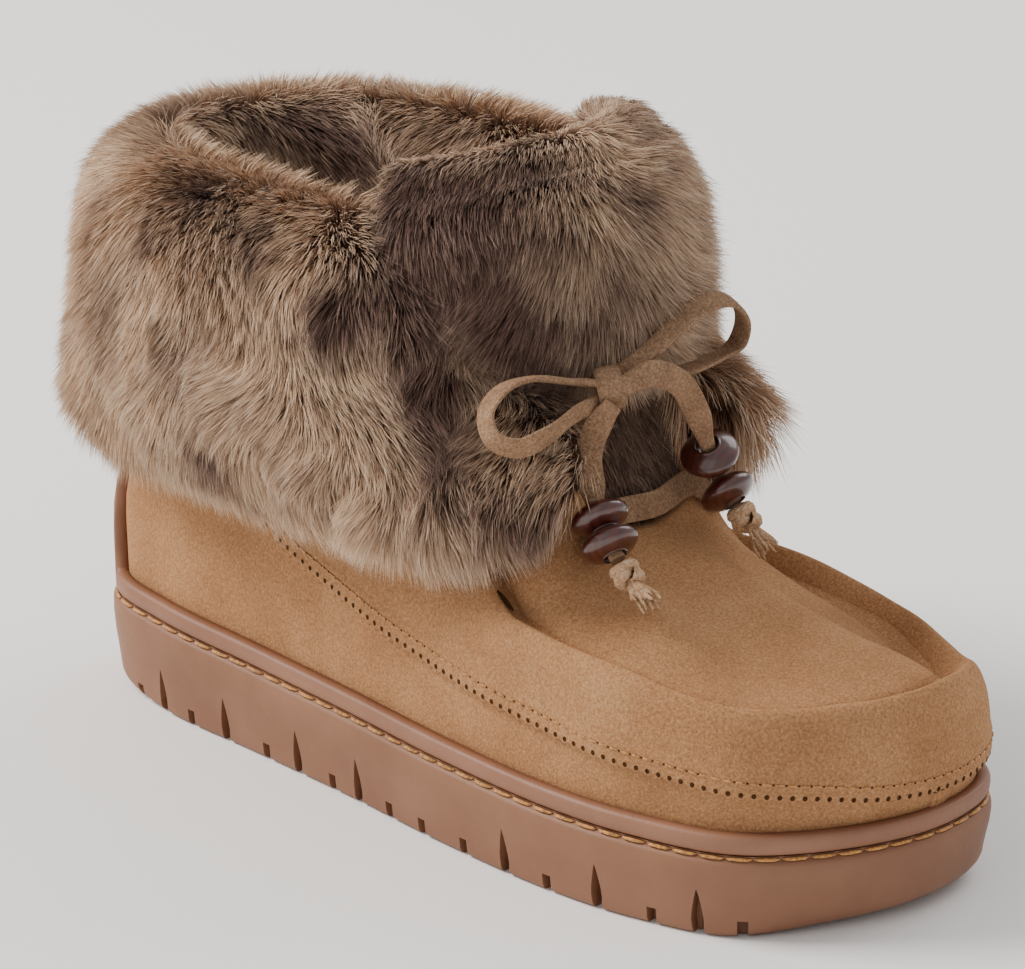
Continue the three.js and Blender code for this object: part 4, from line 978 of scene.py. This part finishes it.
def band_rings(route_mm, facing, width, thickness, steps):
    share = np.linspace(0, 1, steps)
    line = on_route(route_mm, share)
    face = on_route(facing, share)
    ahead = unit(np.gradient(line, axis=0))
    side = unit(np.cross(ahead, face))
    face = unit(np.cross(side, ahead))
    w, t = width(share) / 2, thickness(share) / 2
    angle = np.linspace(0, 2 * math.pi, 14, endpoint=False) + math.pi / 14
    flat = np.sign(np.cos(angle)) * np.abs(np.cos(angle)) ** 0.55
    thick = np.sign(np.sin(angle)) * np.abs(np.sin(angle)) ** 0.7
    return (line[:, None] + side[:, None] * (w[:, None] * flat[None])[..., None]
            + face[:, None] * (t[:, None] * thick[None])[..., None])


def add_band(name, route_mm, facing, width, thickness, node_name, steps=90):
    points, faces = capped_tube(band_rings(route_mm, facing, width, thickness, steps))
    piece = mixed_mesh(name, points, [face[::-1] for face in faces])
    face_outward(piece)
    shade_by_angle(piece, 50)
    return dress(piece, LACE_MATERIAL, "lace", node_name)


def faced(route_mm, outward):
    away = unit(route_mm - route_mm.mean(axis=0))
    return BOW_FRONT[None] * (1 - outward) + away * outward


def route_length(route_m):
    line = on_route(route_m, np.linspace(0, 1, 200))
    return float(np.linalg.norm(np.diff(line, axis=0), axis=1).sum())


def path_points(route_m, count=30):
    return on_route(route_m, np.linspace(0, 1, count)).tolist()


def add_loop(name, route_m, node_name):
    route = np.array(route_m) / MM

    def width(share):
        return LACE_WIDTH * mix(0.6, 1.0, ease(np.minimum(share, 1 - share) / 0.25))

    def thickness(share):
        return LACE_THICKNESS * mix(1.25, 1.0, ease(np.minimum(share, 1 - share) / 0.2))

    return add_band(name, route, faced(route, 0.8), width, thickness, node_name)


def add_end(name, route_m, beads, node_name):
    route = np.array(route_m) / MM

    def folded(share):
        return ease((share - beads[0] + 0.22) / 0.16)

    def width(share):
        return LACE_WIDTH * mix(1, 0.58, folded(share)) * mix(0.7, 1, ease(share / 0.15))

    def thickness(share):
        return LACE_THICKNESS * mix(1, 1.7, folded(share))

    return add_band(name, route, faced(route, 0.0), width, thickness, node_name)


def add_bead(name, route_m, share, node_name):
    """A lens-shaped bead turned about the lace, with a bore and a keen rim."""
    line = on_route(np.array(route_m) / MM, [share - 0.01, share, share + 0.01])
    axis = unit(line[2] - line[0])
    r, h, b = BEAD_WIDTH / 2, BEAD_THICKNESS / 2, BEAD_BORE / 2
    angle = np.linspace(-math.pi / 2, math.pi / 2, 17)
    belly = [(b + (r - b) * np.cos(a) ** BEAD_KEENNESS, h * np.sin(a)) for a in angle[1:-1]]
    lip = [(b, -h * 0.55), (b, -h * 0.86), (b + 0.5, -h * 0.97)]
    profile = lip + belly + [(q, -z) for q, z in lip[::-1]]
    helper = np.array([1.0, 0, 0]) if abs(axis[0]) < 0.8 else np.array([0, 1.0, 0])
    side = unit(np.cross(axis, helper))
    other = np.cross(axis, side)
    spin = np.linspace(0, 2 * math.pi, 40, endpoint=False)
    rings = np.array([[line[1] + side * q * math.cos(s) + other * q * math.sin(s) + axis * z
                       for q, z in profile] for s in spin])
    faces = grid_faces(len(spin), len(profile), close_rows=True, close_across=True)
    piece = make_mesh(name, rings.reshape(-1, 3), faces)
    face_outward(piece)
    return dress(piece, BEAD_MATERIAL, "bead", node_name)


def add_fray(name, route_m, node_name, seed, sides=7):
    """The knot below the beads: two turns of lace round each other, then loose frayed strands."""
    own = np.random.default_rng(seed)
    line = on_route(np.array(route_m) / MM, [0.98, 1.0])
    down = unit(line[1] - line[0])
    start = line[1] + down * (FRAY_WIDTH * 0.5 + GAP)
    sideways = unit(np.cross(down, BOW_FRONT))
    forward = np.cross(sideways, down)
    points, faces, base, coils = [], [], 0, []
    for turn in range(3):
        lean = (turn - 1) * 1.5
        angle = np.linspace(0, 2 * math.pi, 13) + turn
        round_knot = sideways[None] * np.cos(angle)[:, None] + forward[None] * np.sin(angle)[:, None]
        coil = (start + down * lean)[None] + round_knot * (FRAY_WIDTH * 0.27)
        coil = coil + down[None] * (0.9 * np.sin(angle + turn * 2))[:, None]
        coils.append((coil, 1.7))
    for _ in range(FRAY_STRANDS):
        angle, spread = own.uniform(0, 2 * math.pi), own.uniform(0.05, 0.42)
        length = own.uniform(0.55, 1.0) * (FRAY_LENGTH - FRAY_WIDTH)
        way = unit(down + (sideways * math.cos(angle) + forward * math.sin(angle)) * spread)
        s = np.linspace(0, 1, 6)[:, None]
        bend = (sideways * own.normal() + forward * own.normal()) * 0.9
        strand = start + way * length * s + bend * s**2 * np.sin(s * 3) + down * 1.0
        coils.append((strand, own.uniform(0.35, 0.75)))
    for path, radius in coils:
        steps = len(path)
        ahead = unit(np.gradient(path, axis=0))
        helper = unit(np.cross(ahead, down + 0.31 * sideways + 0.17 * forward))
        other = np.cross(ahead, helper)
        angle = np.arange(sides) / sides * 2 * math.pi
        fade = radius * np.where(np.arange(steps) == steps - 1, 0.35, 1.0)
        rings = path[:, None] + (helper[:, None] * np.cos(angle)[None, :, None]
                                 + other[:, None] * np.sin(angle)[None, :, None]) * fade[:, None, None]
        points.append(rings.reshape(-1, 3))
        faces.append(grid_faces(steps, sides, close_across=True) + base)
        base += steps * sides
    piece = make_mesh(name, np.concatenate(points), np.concatenate(faces))
    return dress(piece, FRAY_MATERIAL, "lace", node_name)


def add_knot():
    """The bow's knot: a short band wrapped over the crossing, with its sides tucked in."""
    centre = np.array(KNOT) / MM
    down = np.array([0.15, 0.1, -1.0])
    down = unit(down - BOW_FRONT * np.dot(down, BOW_FRONT))
    across = np.cross(down, BOW_FRONT)
    angle = np.linspace(0, 2 * math.pi, 41)[:-1]
    rise, depth = LACE_WIDTH * 0.68, LACE_WIDTH * 0.56
    path = (centre[None] + down[None] * (rise * np.sin(angle))[:, None]
            + BOW_FRONT[None] * (depth * np.cos(angle))[:, None])
    out = unit(path - centre)
    section = np.linspace(-1, 1, 9)
    width = LACE_WIDTH * 0.5
    lip = np.sqrt(np.clip(1 - section**4, 0, 1))
    outer = (path[:, None] + across[None, None] * (section * width)[None, :, None]
             + out[:, None] * (lip * 0.9)[None, :, None])
    inner = (path[:, None] + across[None, None] * (section[::-1] * width * 0.9)[None, :, None]
             - out[:, None] * 1.6)
    rings = np.concatenate([outer, inner], axis=1)
    faces = grid_faces(len(path), rings.shape[1], close_rows=True, close_across=True)
    piece = make_mesh("bow_knot", rings.reshape(-1, 3), faces)
    face_outward(piece)
    return dress(piece, LACE_MATERIAL, "lace", "lace_knot")


loop_near = add_loop("bow_loop_near", LOOP_NEAR, "lace_loop_near")
loop_far = add_loop("bow_loop_far", LOOP_FAR, "lace_loop_far")
end_near = add_end("bow_end_near", END_NEAR, BEADS_NEAR, "lace_end_near")
end_far = add_end("bow_end_far", END_FAR, BEADS_FAR, "lace_end_far")
knot = add_knot()
beads_near = [add_bead(f"wood_bead_near_{i}", END_NEAR, s, f"bead_near_{i}")
              for i, s in enumerate(BEADS_NEAR, 1)]
beads_far = [add_bead(f"wood_bead_far_{i}", END_FAR, s, f"bead_far_{i}")
             for i, s in enumerate(BEADS_FAR, 1)]
fray_near = add_fray("frayed_knot_near", END_NEAR, "fray_near", 5)
fray_far = add_fray("frayed_knot_far", END_FAR, "fray_far", 8)

route_length(LOOP_NEAR)
path_points(LOOP_NEAR)
route_length(LOOP_FAR)
path_points(LOOP_FAR)
route_length(END_NEAR)
path_points(END_NEAR)
route_length(END_FAR)
path_points(END_FAR)


def add_lace_bar():
    """The lace's run across the throat, lying on the front edge of each quarter."""
    lie = LACE_THICKNESS / 2 + GAP * 4
    places = [(-1, 0.66, 6.3), (-1, 0.675, 6.9), (1, 0.675, 6.9), (1, 0.66, 6.3)]
    route, facing = [], []
    for side, turn, level in places:
        point, normal = upper_frame([turn], [side], [level])
        route.append(point[0] + normal[0] * lie)
        facing.append(normal[0])
    middle = (route[1] + route[2]) / 2
    route.insert(2, np.array([middle[0] + 2.4, 0.0, middle[2]]))
    facing.insert(2, np.array([1, 0, 0.25]))
    add_band("throat_lace", np.array(route), np.array(facing), lambda s: LACE_WIDTH + 0 * s,
             lambda s: LACE_THICKNESS + 0 * s, "lace_bar", steps=60)


add_lace_bar()


# The fur

def shaft_at(cols, z):
    opening = opening_point(cols)
    p = leg_point(cols, opening, RAND_THICKNESS + GAP + 0 * z, np.minimum(z, opening[:, 2]))
    _, normal = upper_frame(cols.turn, cols.side, LEVELS - 0.5)
    return p, unit(normal * np.array([1, 1, 0]))


def cuff_point(cols, rise, reach):
    hem = mix(CUFF_HEM, CUFF_CROWN, read(CUFF_RUN, "turn", cols.turn, "hem"))
    crown = mix(CUFF_HEM, CUFF_CROWN, read(CUFF_RUN, "turn", cols.turn, "crown"))
    z = mix(hem, crown, rise)
    p, out = shaft_at(cols, z)
    p = p + out * (reach + 4 * max(0, rise - 0.6))[:, None]
    p[:, 2] = z
    return p


def cuff_rings(count):
    away = np.linspace(-CUFF_RUN["turn"][-1], CUFF_RUN["turn"][-1], count)
    cols = Columns(np.abs(away), np.where(away <= 0, -1, 1))
    puff = mix(CUFF_PUFF_HEEL, CUFF_PUFF_FRONT, read(CUFF_RUN, "turn", cols.turn, "puff"))
    lining = CUFF_LINING * (1 - 0.75 * ease((cols.turn - 0.36) / 0.12))
    rows = [cuff_point(cols, r, q * puff) for r, q in zip(CUFF_OUTSIDE["rise"], CUFF_OUTSIDE["puff"])]
    rows += [cuff_point(cols, r, -SUEDE - q * lining)
             for r, q in zip(CUFF_INSIDE["rise"], CUFF_INSIDE["lining"])]
    return np.stack(rows, axis=1)


def tongue_front_x(rise):
    return (read(TONGUE_RUN, "rise", rise, "along") - 0.5) * SOLE_LENGTH


FLAP_BASE_X = float(tongue_front_x(0.75)) - COLLAR_HALF_WIDTH


def flap_rings(count):
    side = np.linspace(-1, 1, count)
    rows = []
    for out, rise in zip(FLAP_SECTION["out"], FLAP_SECTION["rise"]):
        angle = side * mix(0.95, 1.3, rise)
        radius = COLLAR_HALF_WIDTH + GAP * 2 + FLAP_THICKNESS * out * (1 - 0.25 * side**2)
        z = mix(FLAP_HEM + 5 * side**2, FLAP_CROWN - 7 * side**2, rise)
        x, y = FLAP_BASE_X + radius * np.cos(angle), radius * np.sin(angle) * FLAP_NARROWING
        rows.append(np.stack([x, y, z], axis=-1))
    return np.stack(rows, axis=1)


def smooth_rings(rings, across, closed):
    """Each section as a smooth line through its points."""
    share = np.linspace(0, 1, across, endpoint=not closed)
    return through(rings, np.broadcast_to(share, (len(rings), across)), closed=closed)


def add_backing(name, rings, node_name):
    """The knitted backing under a pile."""
    points, faces = capped_tube(rings)
    piece = mixed_mesh(name, points, faces)
    face_outward(piece)
    piece.data.polygons.foreach_set("use_smooth", np.ones(len(faces), bool))
    dress(piece, BACKING_SHADE_MATERIAL, "fur", node_name)


# The pile, in millimetres: its depth over the backing, the hairs' widths, how far they stray, and how
# many share a tuft.
PILE_DEPTH = 6.5
BACKING_SHARE = 0.3
HAIR_WIDTH = (0.17, 0.30)
HAIR_STRAY = 0.17
TUFT_HAIRS, TUFT_PULL = 12, 0.36
CUFF_HAIRS, FLAP_HAIRS, THROAT_HAIRS = 200000, 66000, 9000
DENSITY = 1.0
HAIR_WIDEN = 1.0


def drawn_in(rings, around, depth=PILE_DEPTH):
    """Sections drawn in by the depth of the pile toward the middle of the sections around them."""
    middle = around.mean(axis=1, keepdims=True)
    away = rings - middle
    reach = np.linalg.norm(away, axis=2, keepdims=True)
    return middle + away * np.clip(1 - depth / np.maximum(reach, 1e-6), BACKING_SHARE, 1)


def pile_normals(grid):
    across = np.gradient(grid, axis=0)
    along = np.gradient(grid, axis=1)
    normal = unit(np.cross(across, along))
    centre = grid.mean(axis=1, keepdims=True)
    return normal if np.sum(normal * (grid - centre)) > 0 else -normal


def scatter(grid, normal, count, own):
    """Random roots over a grid of points, evenly by area."""
    a = grid[1:, :-1] - grid[:-1, :-1]
    b = grid[:-1, 1:] - grid[:-1, :-1]
    area = np.linalg.norm(np.cross(a, b), axis=-1)
    pick = own.choice(area.size, size=count, p=(area / area.sum()).ravel())
    i, j = np.unravel_index(pick, area.shape)
    u, v = own.uniform(size=(count, 1)), own.uniform(size=(count, 1))

    def blend(values):
        return (values[i, j] * (1 - u) * (1 - v) + values[i + 1, j] * u * (1 - v)
                + values[i, j + 1] * (1 - u) * v + values[i + 1, j + 1] * u * v)

    return blend(grid), unit(blend(normal))


def hair_lines(root, skin, flow, length, own, lift, droop):
    """Each hair stands up from the skin and bends over into the flow: root, middle and tip."""
    rough = own.normal(scale=HAIR_STRAY, size=root.shape)
    first = unit(skin * lift[:, None] + flow * 0.42 + rough)
    rough = own.normal(scale=HAIR_STRAY, size=root.shape)
    last = unit(skin * (lift * 0.45)[:, None] + flow + np.array([0, 0, -1]) * droop[:, None] + rough)
    s = np.array([0.0, 0.55, 1.0])[None, :, None]
    bent = first[:, None] * (s - s**2 / 2) + last[:, None] * (s**2 / 2)
    return root[:, None] + length[:, None, None] * bent * 1.1


def add_pile(name, lines, skin, shade, tip_light, width, own):
    """Hairs as narrow tapered strips, each with its own twist."""
    count = len(lines)
    ahead = unit(lines[:, 1:] - lines[:, :-1])
    twist = own.normal(scale=0.8, size=(count, 3))
    side = unit(np.cross(ahead, (unit(skin + twist))[:, None]))
    left = lines[:, :2] - side * (width[:, None] * np.array([0.5, 0.4]))[..., None]
    right = lines[:, :2] + side * (width[:, None] * np.array([0.5, 0.4]))[..., None]
    points = np.concatenate([np.stack([left, right], axis=2).reshape(count, 4, 3), lines[:, 2:3]], axis=1)
    one = np.array([[0, 1, 3], [0, 3, 2], [2, 3, 4]])
    faces = (one[None] + (np.arange(count) * 5)[:, None, None]).reshape(-1, 3)
    piece = make_mesh(name, points.reshape(-1, 3), faces)
    tips = np.clip(np.array([0, 0, 0.55, 0.55, 1.0])[None] * tip_light[:, None], 0, 1)
    for attribute, values in (("tip", tips.ravel()), ("shade", np.repeat(shade, 5))):
        layer = piece.data.attributes.new(attribute, "FLOAT", "POINT")
        layer.data.foreach_set("value", values.astype(np.float32))
    return dress(piece, PILE_MATERIAL, "fur")


# Dark patches of the pile, partly its own mottling and partly painted shade where the flap meets the cuff
# and under the flap's lower edge: centre in millimetres, radius, depth of colour
DARK_PATCHES = [
    (-56, -52, 154, 8, 0.70), (-71, -58, 142, 8, 0.60), (-43, -56, 150, 6, 0.60), (-31, -59, 145, 8, 0.75),
    (-14, -61, 130, 6, 0.45), (-6, -57, 137, 9, 0.70), (7, -44, 158, 14, 0.95), (13, -45, 144, 15, 1.00),
    (22, -33, 164, 12, 0.90), (0, -42, 163, 8, 0.80), (27, -36, 144, 10, 0.80), (24, -23, 169, 7, 0.70),
    (12, -50, 129, 9, 0.70), (12, -53, 120, 9, 0.75), (17, -47, 118, 9, 0.75), (16, -50, 107, 8, 0.70),
    (34, -47, 94, 12, 0.70), (42, -45, 86, 10, 0.60), (24, -46, 108, 8, 0.50), (-50, -65, 118, 11, 0.35),
    (-50, -64, 109, 9, 0.35), (-49, -62, 92, 8, 0.55), (-96, 7, 151, 9, 0.60), (-90, 15, 149, 9, 0.60),
    (-78, 22, 144, 12, 0.85), (-48, 31, 153, 8, 0.40), (-102, -14, 157, 7, 0.50), (39, -19, 129, 13, 0.50),
    (42, 13, 143, 10, 0.40), (35, 30, 114, 8, 0.30), (38, 38, 84, 9, 0.25), (33, -25, 119, 9, 0.70),
    (29, -33, 132, 10, 0.70), (33, -27, 156, 8, 0.50), (39, -4, 163, 8, 0.40), (-28, -64, 109, 8, 0.20),
    (-6, -61, 97, 7, 0.30), (11, -55, 82, 8, 0.30), (-83, -59, 122, 8, 0.25), (-96, -49, 141, 7, 0.30),
    (43, -10, 137, 10, 0.40), (-100, 30, 130, 16, 0.55), (-60, 66, 110, 16, 0.55),
    (-10, 64, 130, 14, 0.55), (10, 60, 96, 12, 0.50), (-118, 0, 110, 12, 0.45), (-90, 52, 92, 12, 0.40),
]


def patch_shade(points, own):
    shade = 0.10 + 0.13 * waves(points, 13.0, 21) + 0.10 * waves(points, 5.0, 22)
    for x, y, z, radius, depth in DARK_PATCHES:
        away = np.linalg.norm(points - np.array([x, y, z]), axis=-1)
        shade = shade + depth * np.exp(-((away / radius) ** 2))
    return np.clip(shade + own.normal(scale=0.13, size=len(points)), 0, 1)


def gather(lines, root, own):
    """Draws the hairs' tips together in small tufts."""
    tufts = max(8, int(len(root) / TUFT_HAIRS))
    heads = own.choice(len(root), size=tufts, replace=False)
    tree = KDTree(tufts)
    for k, h in enumerate(heads):
        tree.insert(Vector(root[h]), k)
    tree.balance()
    nearest = np.array([tree.find(Vector(r))[1] for r in root])
    guide = lines[heads[nearest]]
    s = np.array([0.0, 0.5, 1.0])[None, :, None]
    strength = np.clip(own.normal(loc=TUFT_PULL, scale=0.15, size=(len(root), 1, 1)), 0, 0.8)
    offset = (root[:, None] - guide[:, :1]) * (1 - s * 0.75)
    return lines + (guide + offset - lines) * strength * s


def clear_of_bow(lines):
    """Which hairs stay clear of the beads and of the hanging ends, so that the fur doesn't cover them."""
    clear = np.ones(len(lines), bool)
    for route, beads in ((END_NEAR, BEADS_NEAR), (END_FAR, BEADS_FAR)):
        share = np.concatenate([np.linspace(0, 1, 14), beads])
        reach = np.concatenate([np.full(14, LACE_WIDTH * 0.6), np.full(len(beads), BEAD_WIDTH * 0.72)])
        for centre, radius in zip(on_route(np.array(route) / MM, share), reach):
            clear &= (np.linalg.norm(lines - centre, axis=2) > radius).all(axis=1)
    return clear


def split_pile(name, lines, skin, shade, tip_light, width, own, pieces):
    """A pile in several pieces, so that no piece is too heavy."""
    parts = np.array_split(np.flatnonzero(clear_of_bow(lines)), pieces)
    for number, part in enumerate(parts, 1):
        add_pile(f"{name}_{number}", *(v[part] for v in (lines, skin, shade, tip_light, width)), own)


def end_caps(rings, depth, rows=8):
    """Rings that round off both ends of a row of sections."""
    first, last = [], []
    for k in range(rows, 0, -1):
        angle = k / rows * math.pi / 2
        for store, end, before in ((first, 0, 1), (last, -1, -2)):
            middle = rings[end].mean(axis=0)
            away = unit(middle - rings[before].mean(axis=0))
            store.append(middle + (rings[end] - middle) * max(math.cos(angle), 0.03)
                         + away * math.sin(angle) * depth)
    return np.concatenate([first, rings, last[::-1]])


def add_fur_cuff():
    own = np.random.default_rng(7)
    section = cuff_rings(130)
    backing = drawn_in(smooth_rings(section, 56, closed=True), section)
    add_backing("cuff_backing", end_caps(backing, 3.5), "fur_cuff")
    grid = end_caps(drawn_in(smooth_rings(section, 80, closed=False), section), 3.5)
    skin_grid = pile_normals(grid)
    count = int(CUFF_HAIRS * DENSITY)
    root, skin = scatter(grid, skin_grid, count, own)
    ankle = np.array([-32.0, 0, 0])
    level = unit((root - ankle) * np.array([1, 1, 0]))
    inside = np.sum(level * skin, axis=-1) < -0.25
    falling = np.array([0, 0, -1.0]) + skin * skin[:, 2:3]
    tangent = unit(np.cross(np.array([0, 0, 1.0]), level)) * np.clip(-root[:, 1:2] / 30, -1, 1)
    swirl = 0.35 + waves(root, 22.0, 31)[:, None] * 0.6 + waves(root, 9.0, 32)[:, None] * 0.35
    flow = unit(unit(falling + 1e-6) + tangent * swirl)
    top = ease((skin[:, 2] - 0.2) / 0.6)
    lift = np.where(inside, 0.8, 0.95) + 0.4 * top + 0.15 * waves(root, 10.0, 33)
    hem = ease((92 - root[:, 2]) / 12) * ~inside
    far_end = ease((root[:, 0] - 14) / 14) * (root[:, 1] > 0) * ease((118 - root[:, 2]) / 20)
    length = np.where(inside, 9.5, 11.5) * own.uniform(0.7, 1.15, count) * (1 - 0.22 * top)
    length *= 1 + 0.35 * hem + 0.65 * far_end
    lines = hair_lines(root, skin, flow, length, own, lift * (1 - 0.3 * hem), 0.18 + 0.5 * hem)
    lines = gather(lines, root, own)
    # The far front end of the cuff is painted paler: painted light that lifts the shade it sits in
    shade = patch_shade(root + skin * 6, own) * (1 - 0.7 * far_end)
    tip_light = own.uniform(0.72, 1.08, count)
    width = own.uniform(*HAIR_WIDTH, count) * HAIR_WIDEN
    split_pile("cuff_pile", lines, skin, shade, tip_light, width, own, 4)


def add_fur_flap():
    own = np.random.default_rng(11)
    section = flap_rings(70)

    def ahead_of_tongue(points):
        reach = np.hypot(points[..., :1] - FLAP_BASE_X, points[..., 1:2] / FLAP_NARROWING)
        return ease((reach - COLLAR_HALF_WIDTH) / 8)

    backing = smooth_rings(section, 56, closed=True)
    backing = drawn_in(backing, section, PILE_DEPTH * ahead_of_tongue(backing))
    add_backing("flap_backing", end_caps(backing, 3.0), "fur_flap")
    grid = smooth_rings(section[:, :9], 70, closed=False)
    grid = end_caps(drawn_in(grid, section, PILE_DEPTH * ahead_of_tongue(grid)), 3.0)
    skin_grid = pile_normals(grid)
    count = int(FLAP_HAIRS * DENSITY)
    root, skin = scatter(grid, skin_grid, count, own)
    spread = ease((root[:, 1] + 22) / 36)[:, None]
    swirl = waves(root, 14.0, 41)[:, None] * 0.4
    falling = np.array([-0.05, -0.45, -1.0])
    combed = np.array([0.25, 1.0, -0.45])
    flow = mix(falling, combed, spread) + np.cross(skin, np.array([0, 0, 1.0])) * swirl
    flow = unit(flow - skin * np.sum(flow * skin, axis=-1, keepdims=True) + 1e-6)
    top = ease((root[:, 2] - 152) / 10)
    lift = 0.85 - 0.25 * spread[:, 0] + 0.15 * waves(root, 10.0, 43)
    hem = ease((124 - root[:, 2]) / 12)
    length = mix(11.5, 15.0, spread[:, 0]) * own.uniform(0.7, 1.15, count) * (1 - 0.38 * top)
    length *= 1 + 0.3 * hem
    length *= 0.45 + 0.55 * ahead_of_tongue(root + skin * PILE_DEPTH)[:, 0]
    lines = hair_lines(root, skin, flow, length, own, lift * (1 - 0.3 * hem), 0.18 + 0.6 * hem)
    lines = gather(lines, root, own)
    # The flap is painted darker toward its far side: painted shade on the side turned from the light
    shade = np.clip(patch_shade(root + skin * 6, own) + 0.22 * spread[:, 0], 0, 1)
    tip_light = own.uniform(0.7, 1.05, count)
    width = own.uniform(*HAIR_WIDTH, count) * HAIR_WIDEN
    split_pile("flap_pile", lines, skin, shade, tip_light, width, own, 2)


def add_throat_pile():
    """The pile of the tongue's front below the flap, behind the bow, painted dark with darker tips: painted
    shade in the recess.
    """
    own = np.random.default_rng(13)
    across, height = np.meshgrid(np.linspace(-21, 21, 30), np.linspace(84, 116, 24), indexing="ij")
    rise = (height - THROAT_HEIGHT) / (TONGUE_TOP - THROAT_HEIGHT)
    front = tongue_front_x(rise.ravel()).reshape(rise.shape) - across**2 / (2 * COLLAR_HALF_WIDTH) + 0.6
    grid = np.stack([front, across, height], axis=-1)
    outward = [np.ones_like(across), across / COLLAR_HALF_WIDTH, 0 * across + 0.2]
    skin_grid = unit(np.stack(outward, axis=-1))
    count = int(THROAT_HAIRS * DENSITY)
    root, skin = scatter(grid, skin_grid, count, own)
    flow = unit(np.array([0.1, 0, -1.0]) + own.normal(scale=0.2, size=root.shape))
    length = own.uniform(7.0, 11.0, count)
    lines = hair_lines(root, skin, flow, length, own, np.full(count, 0.8), np.full(count, 0.4))
    lines = gather(lines, root, own)
    # Painted shade: the throat's hairs are kept dark, tips included
    shade = np.clip(own.normal(loc=0.8, scale=0.2, size=count), 0, 1)
    width = own.uniform(*HAIR_WIDTH, count) * HAIR_WIDEN
    add_pile("throat_pile", lines, skin, shade, own.uniform(0.5, 0.9, count), width, own)


add_fur_cuff()
add_fur_flap()
add_throat_pile()

# The solids that stay as they are
for node_name, material in (("insole", INSOLE_MATERIAL), ("tongue", TONGUE_MATERIAL)):
    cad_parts[node_name].data.materials.clear()
    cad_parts[node_name].data.materials.append(material)


# Studio
WORLD_STRENGTH = 0.66


def add_floor():
    mesh = bpy.data.meshes.new("floor")
    half = 4.0
    corners = [(-half, -half, 0), (half, -half, 0), (half, half, 0), (-half, half, 0)]
    mesh.from_pydata(corners, [], [(0, 1, 2, 3)])
    mesh.materials.append(floor_material())
    floor = place_mesh(mesh)


def add_area_light(name, place, aim, size, power, colour="#FFFFFF"):
    data = bpy.data.lights.new(name, "AREA")
    data.shape, data.size, data.energy = "SQUARE", size, power
    data.color = linear(colour)[:3]
    light = bpy.data.objects.new(name, data)
    light.location = place
    light.rotation_euler = (Vector(aim) - Vector(place)).to_track_quat("-Z", "Y").to_euler()
    bpy.context.scene.collection.objects.link(light)


def add_studio():
    world = bpy.data.worlds.new("studio")
    world.use_nodes = True
    background = world.node_tree.nodes["Background"]
    background.inputs["Color"].default_value = (1.0, 1.0, 1.0, 1.0)
    background.inputs["Strength"].default_value = WORLD_STRENGTH
    bpy.context.scene.world = world
    add_area_light("key", (-1.3, -0.8, 1.5), (0, 0, 0.05), 0.9, 58.0, "#FFF9F2")
    add_area_light("fill", (0.6, -1.6, 1.0), (0, 0, 0.06), 1.4, 2.5)
    add_area_light("back", (0.2, 1.4, 1.3), (0, 0, 0.08), 1.2, 12.0)


add_floor()
add_studio()
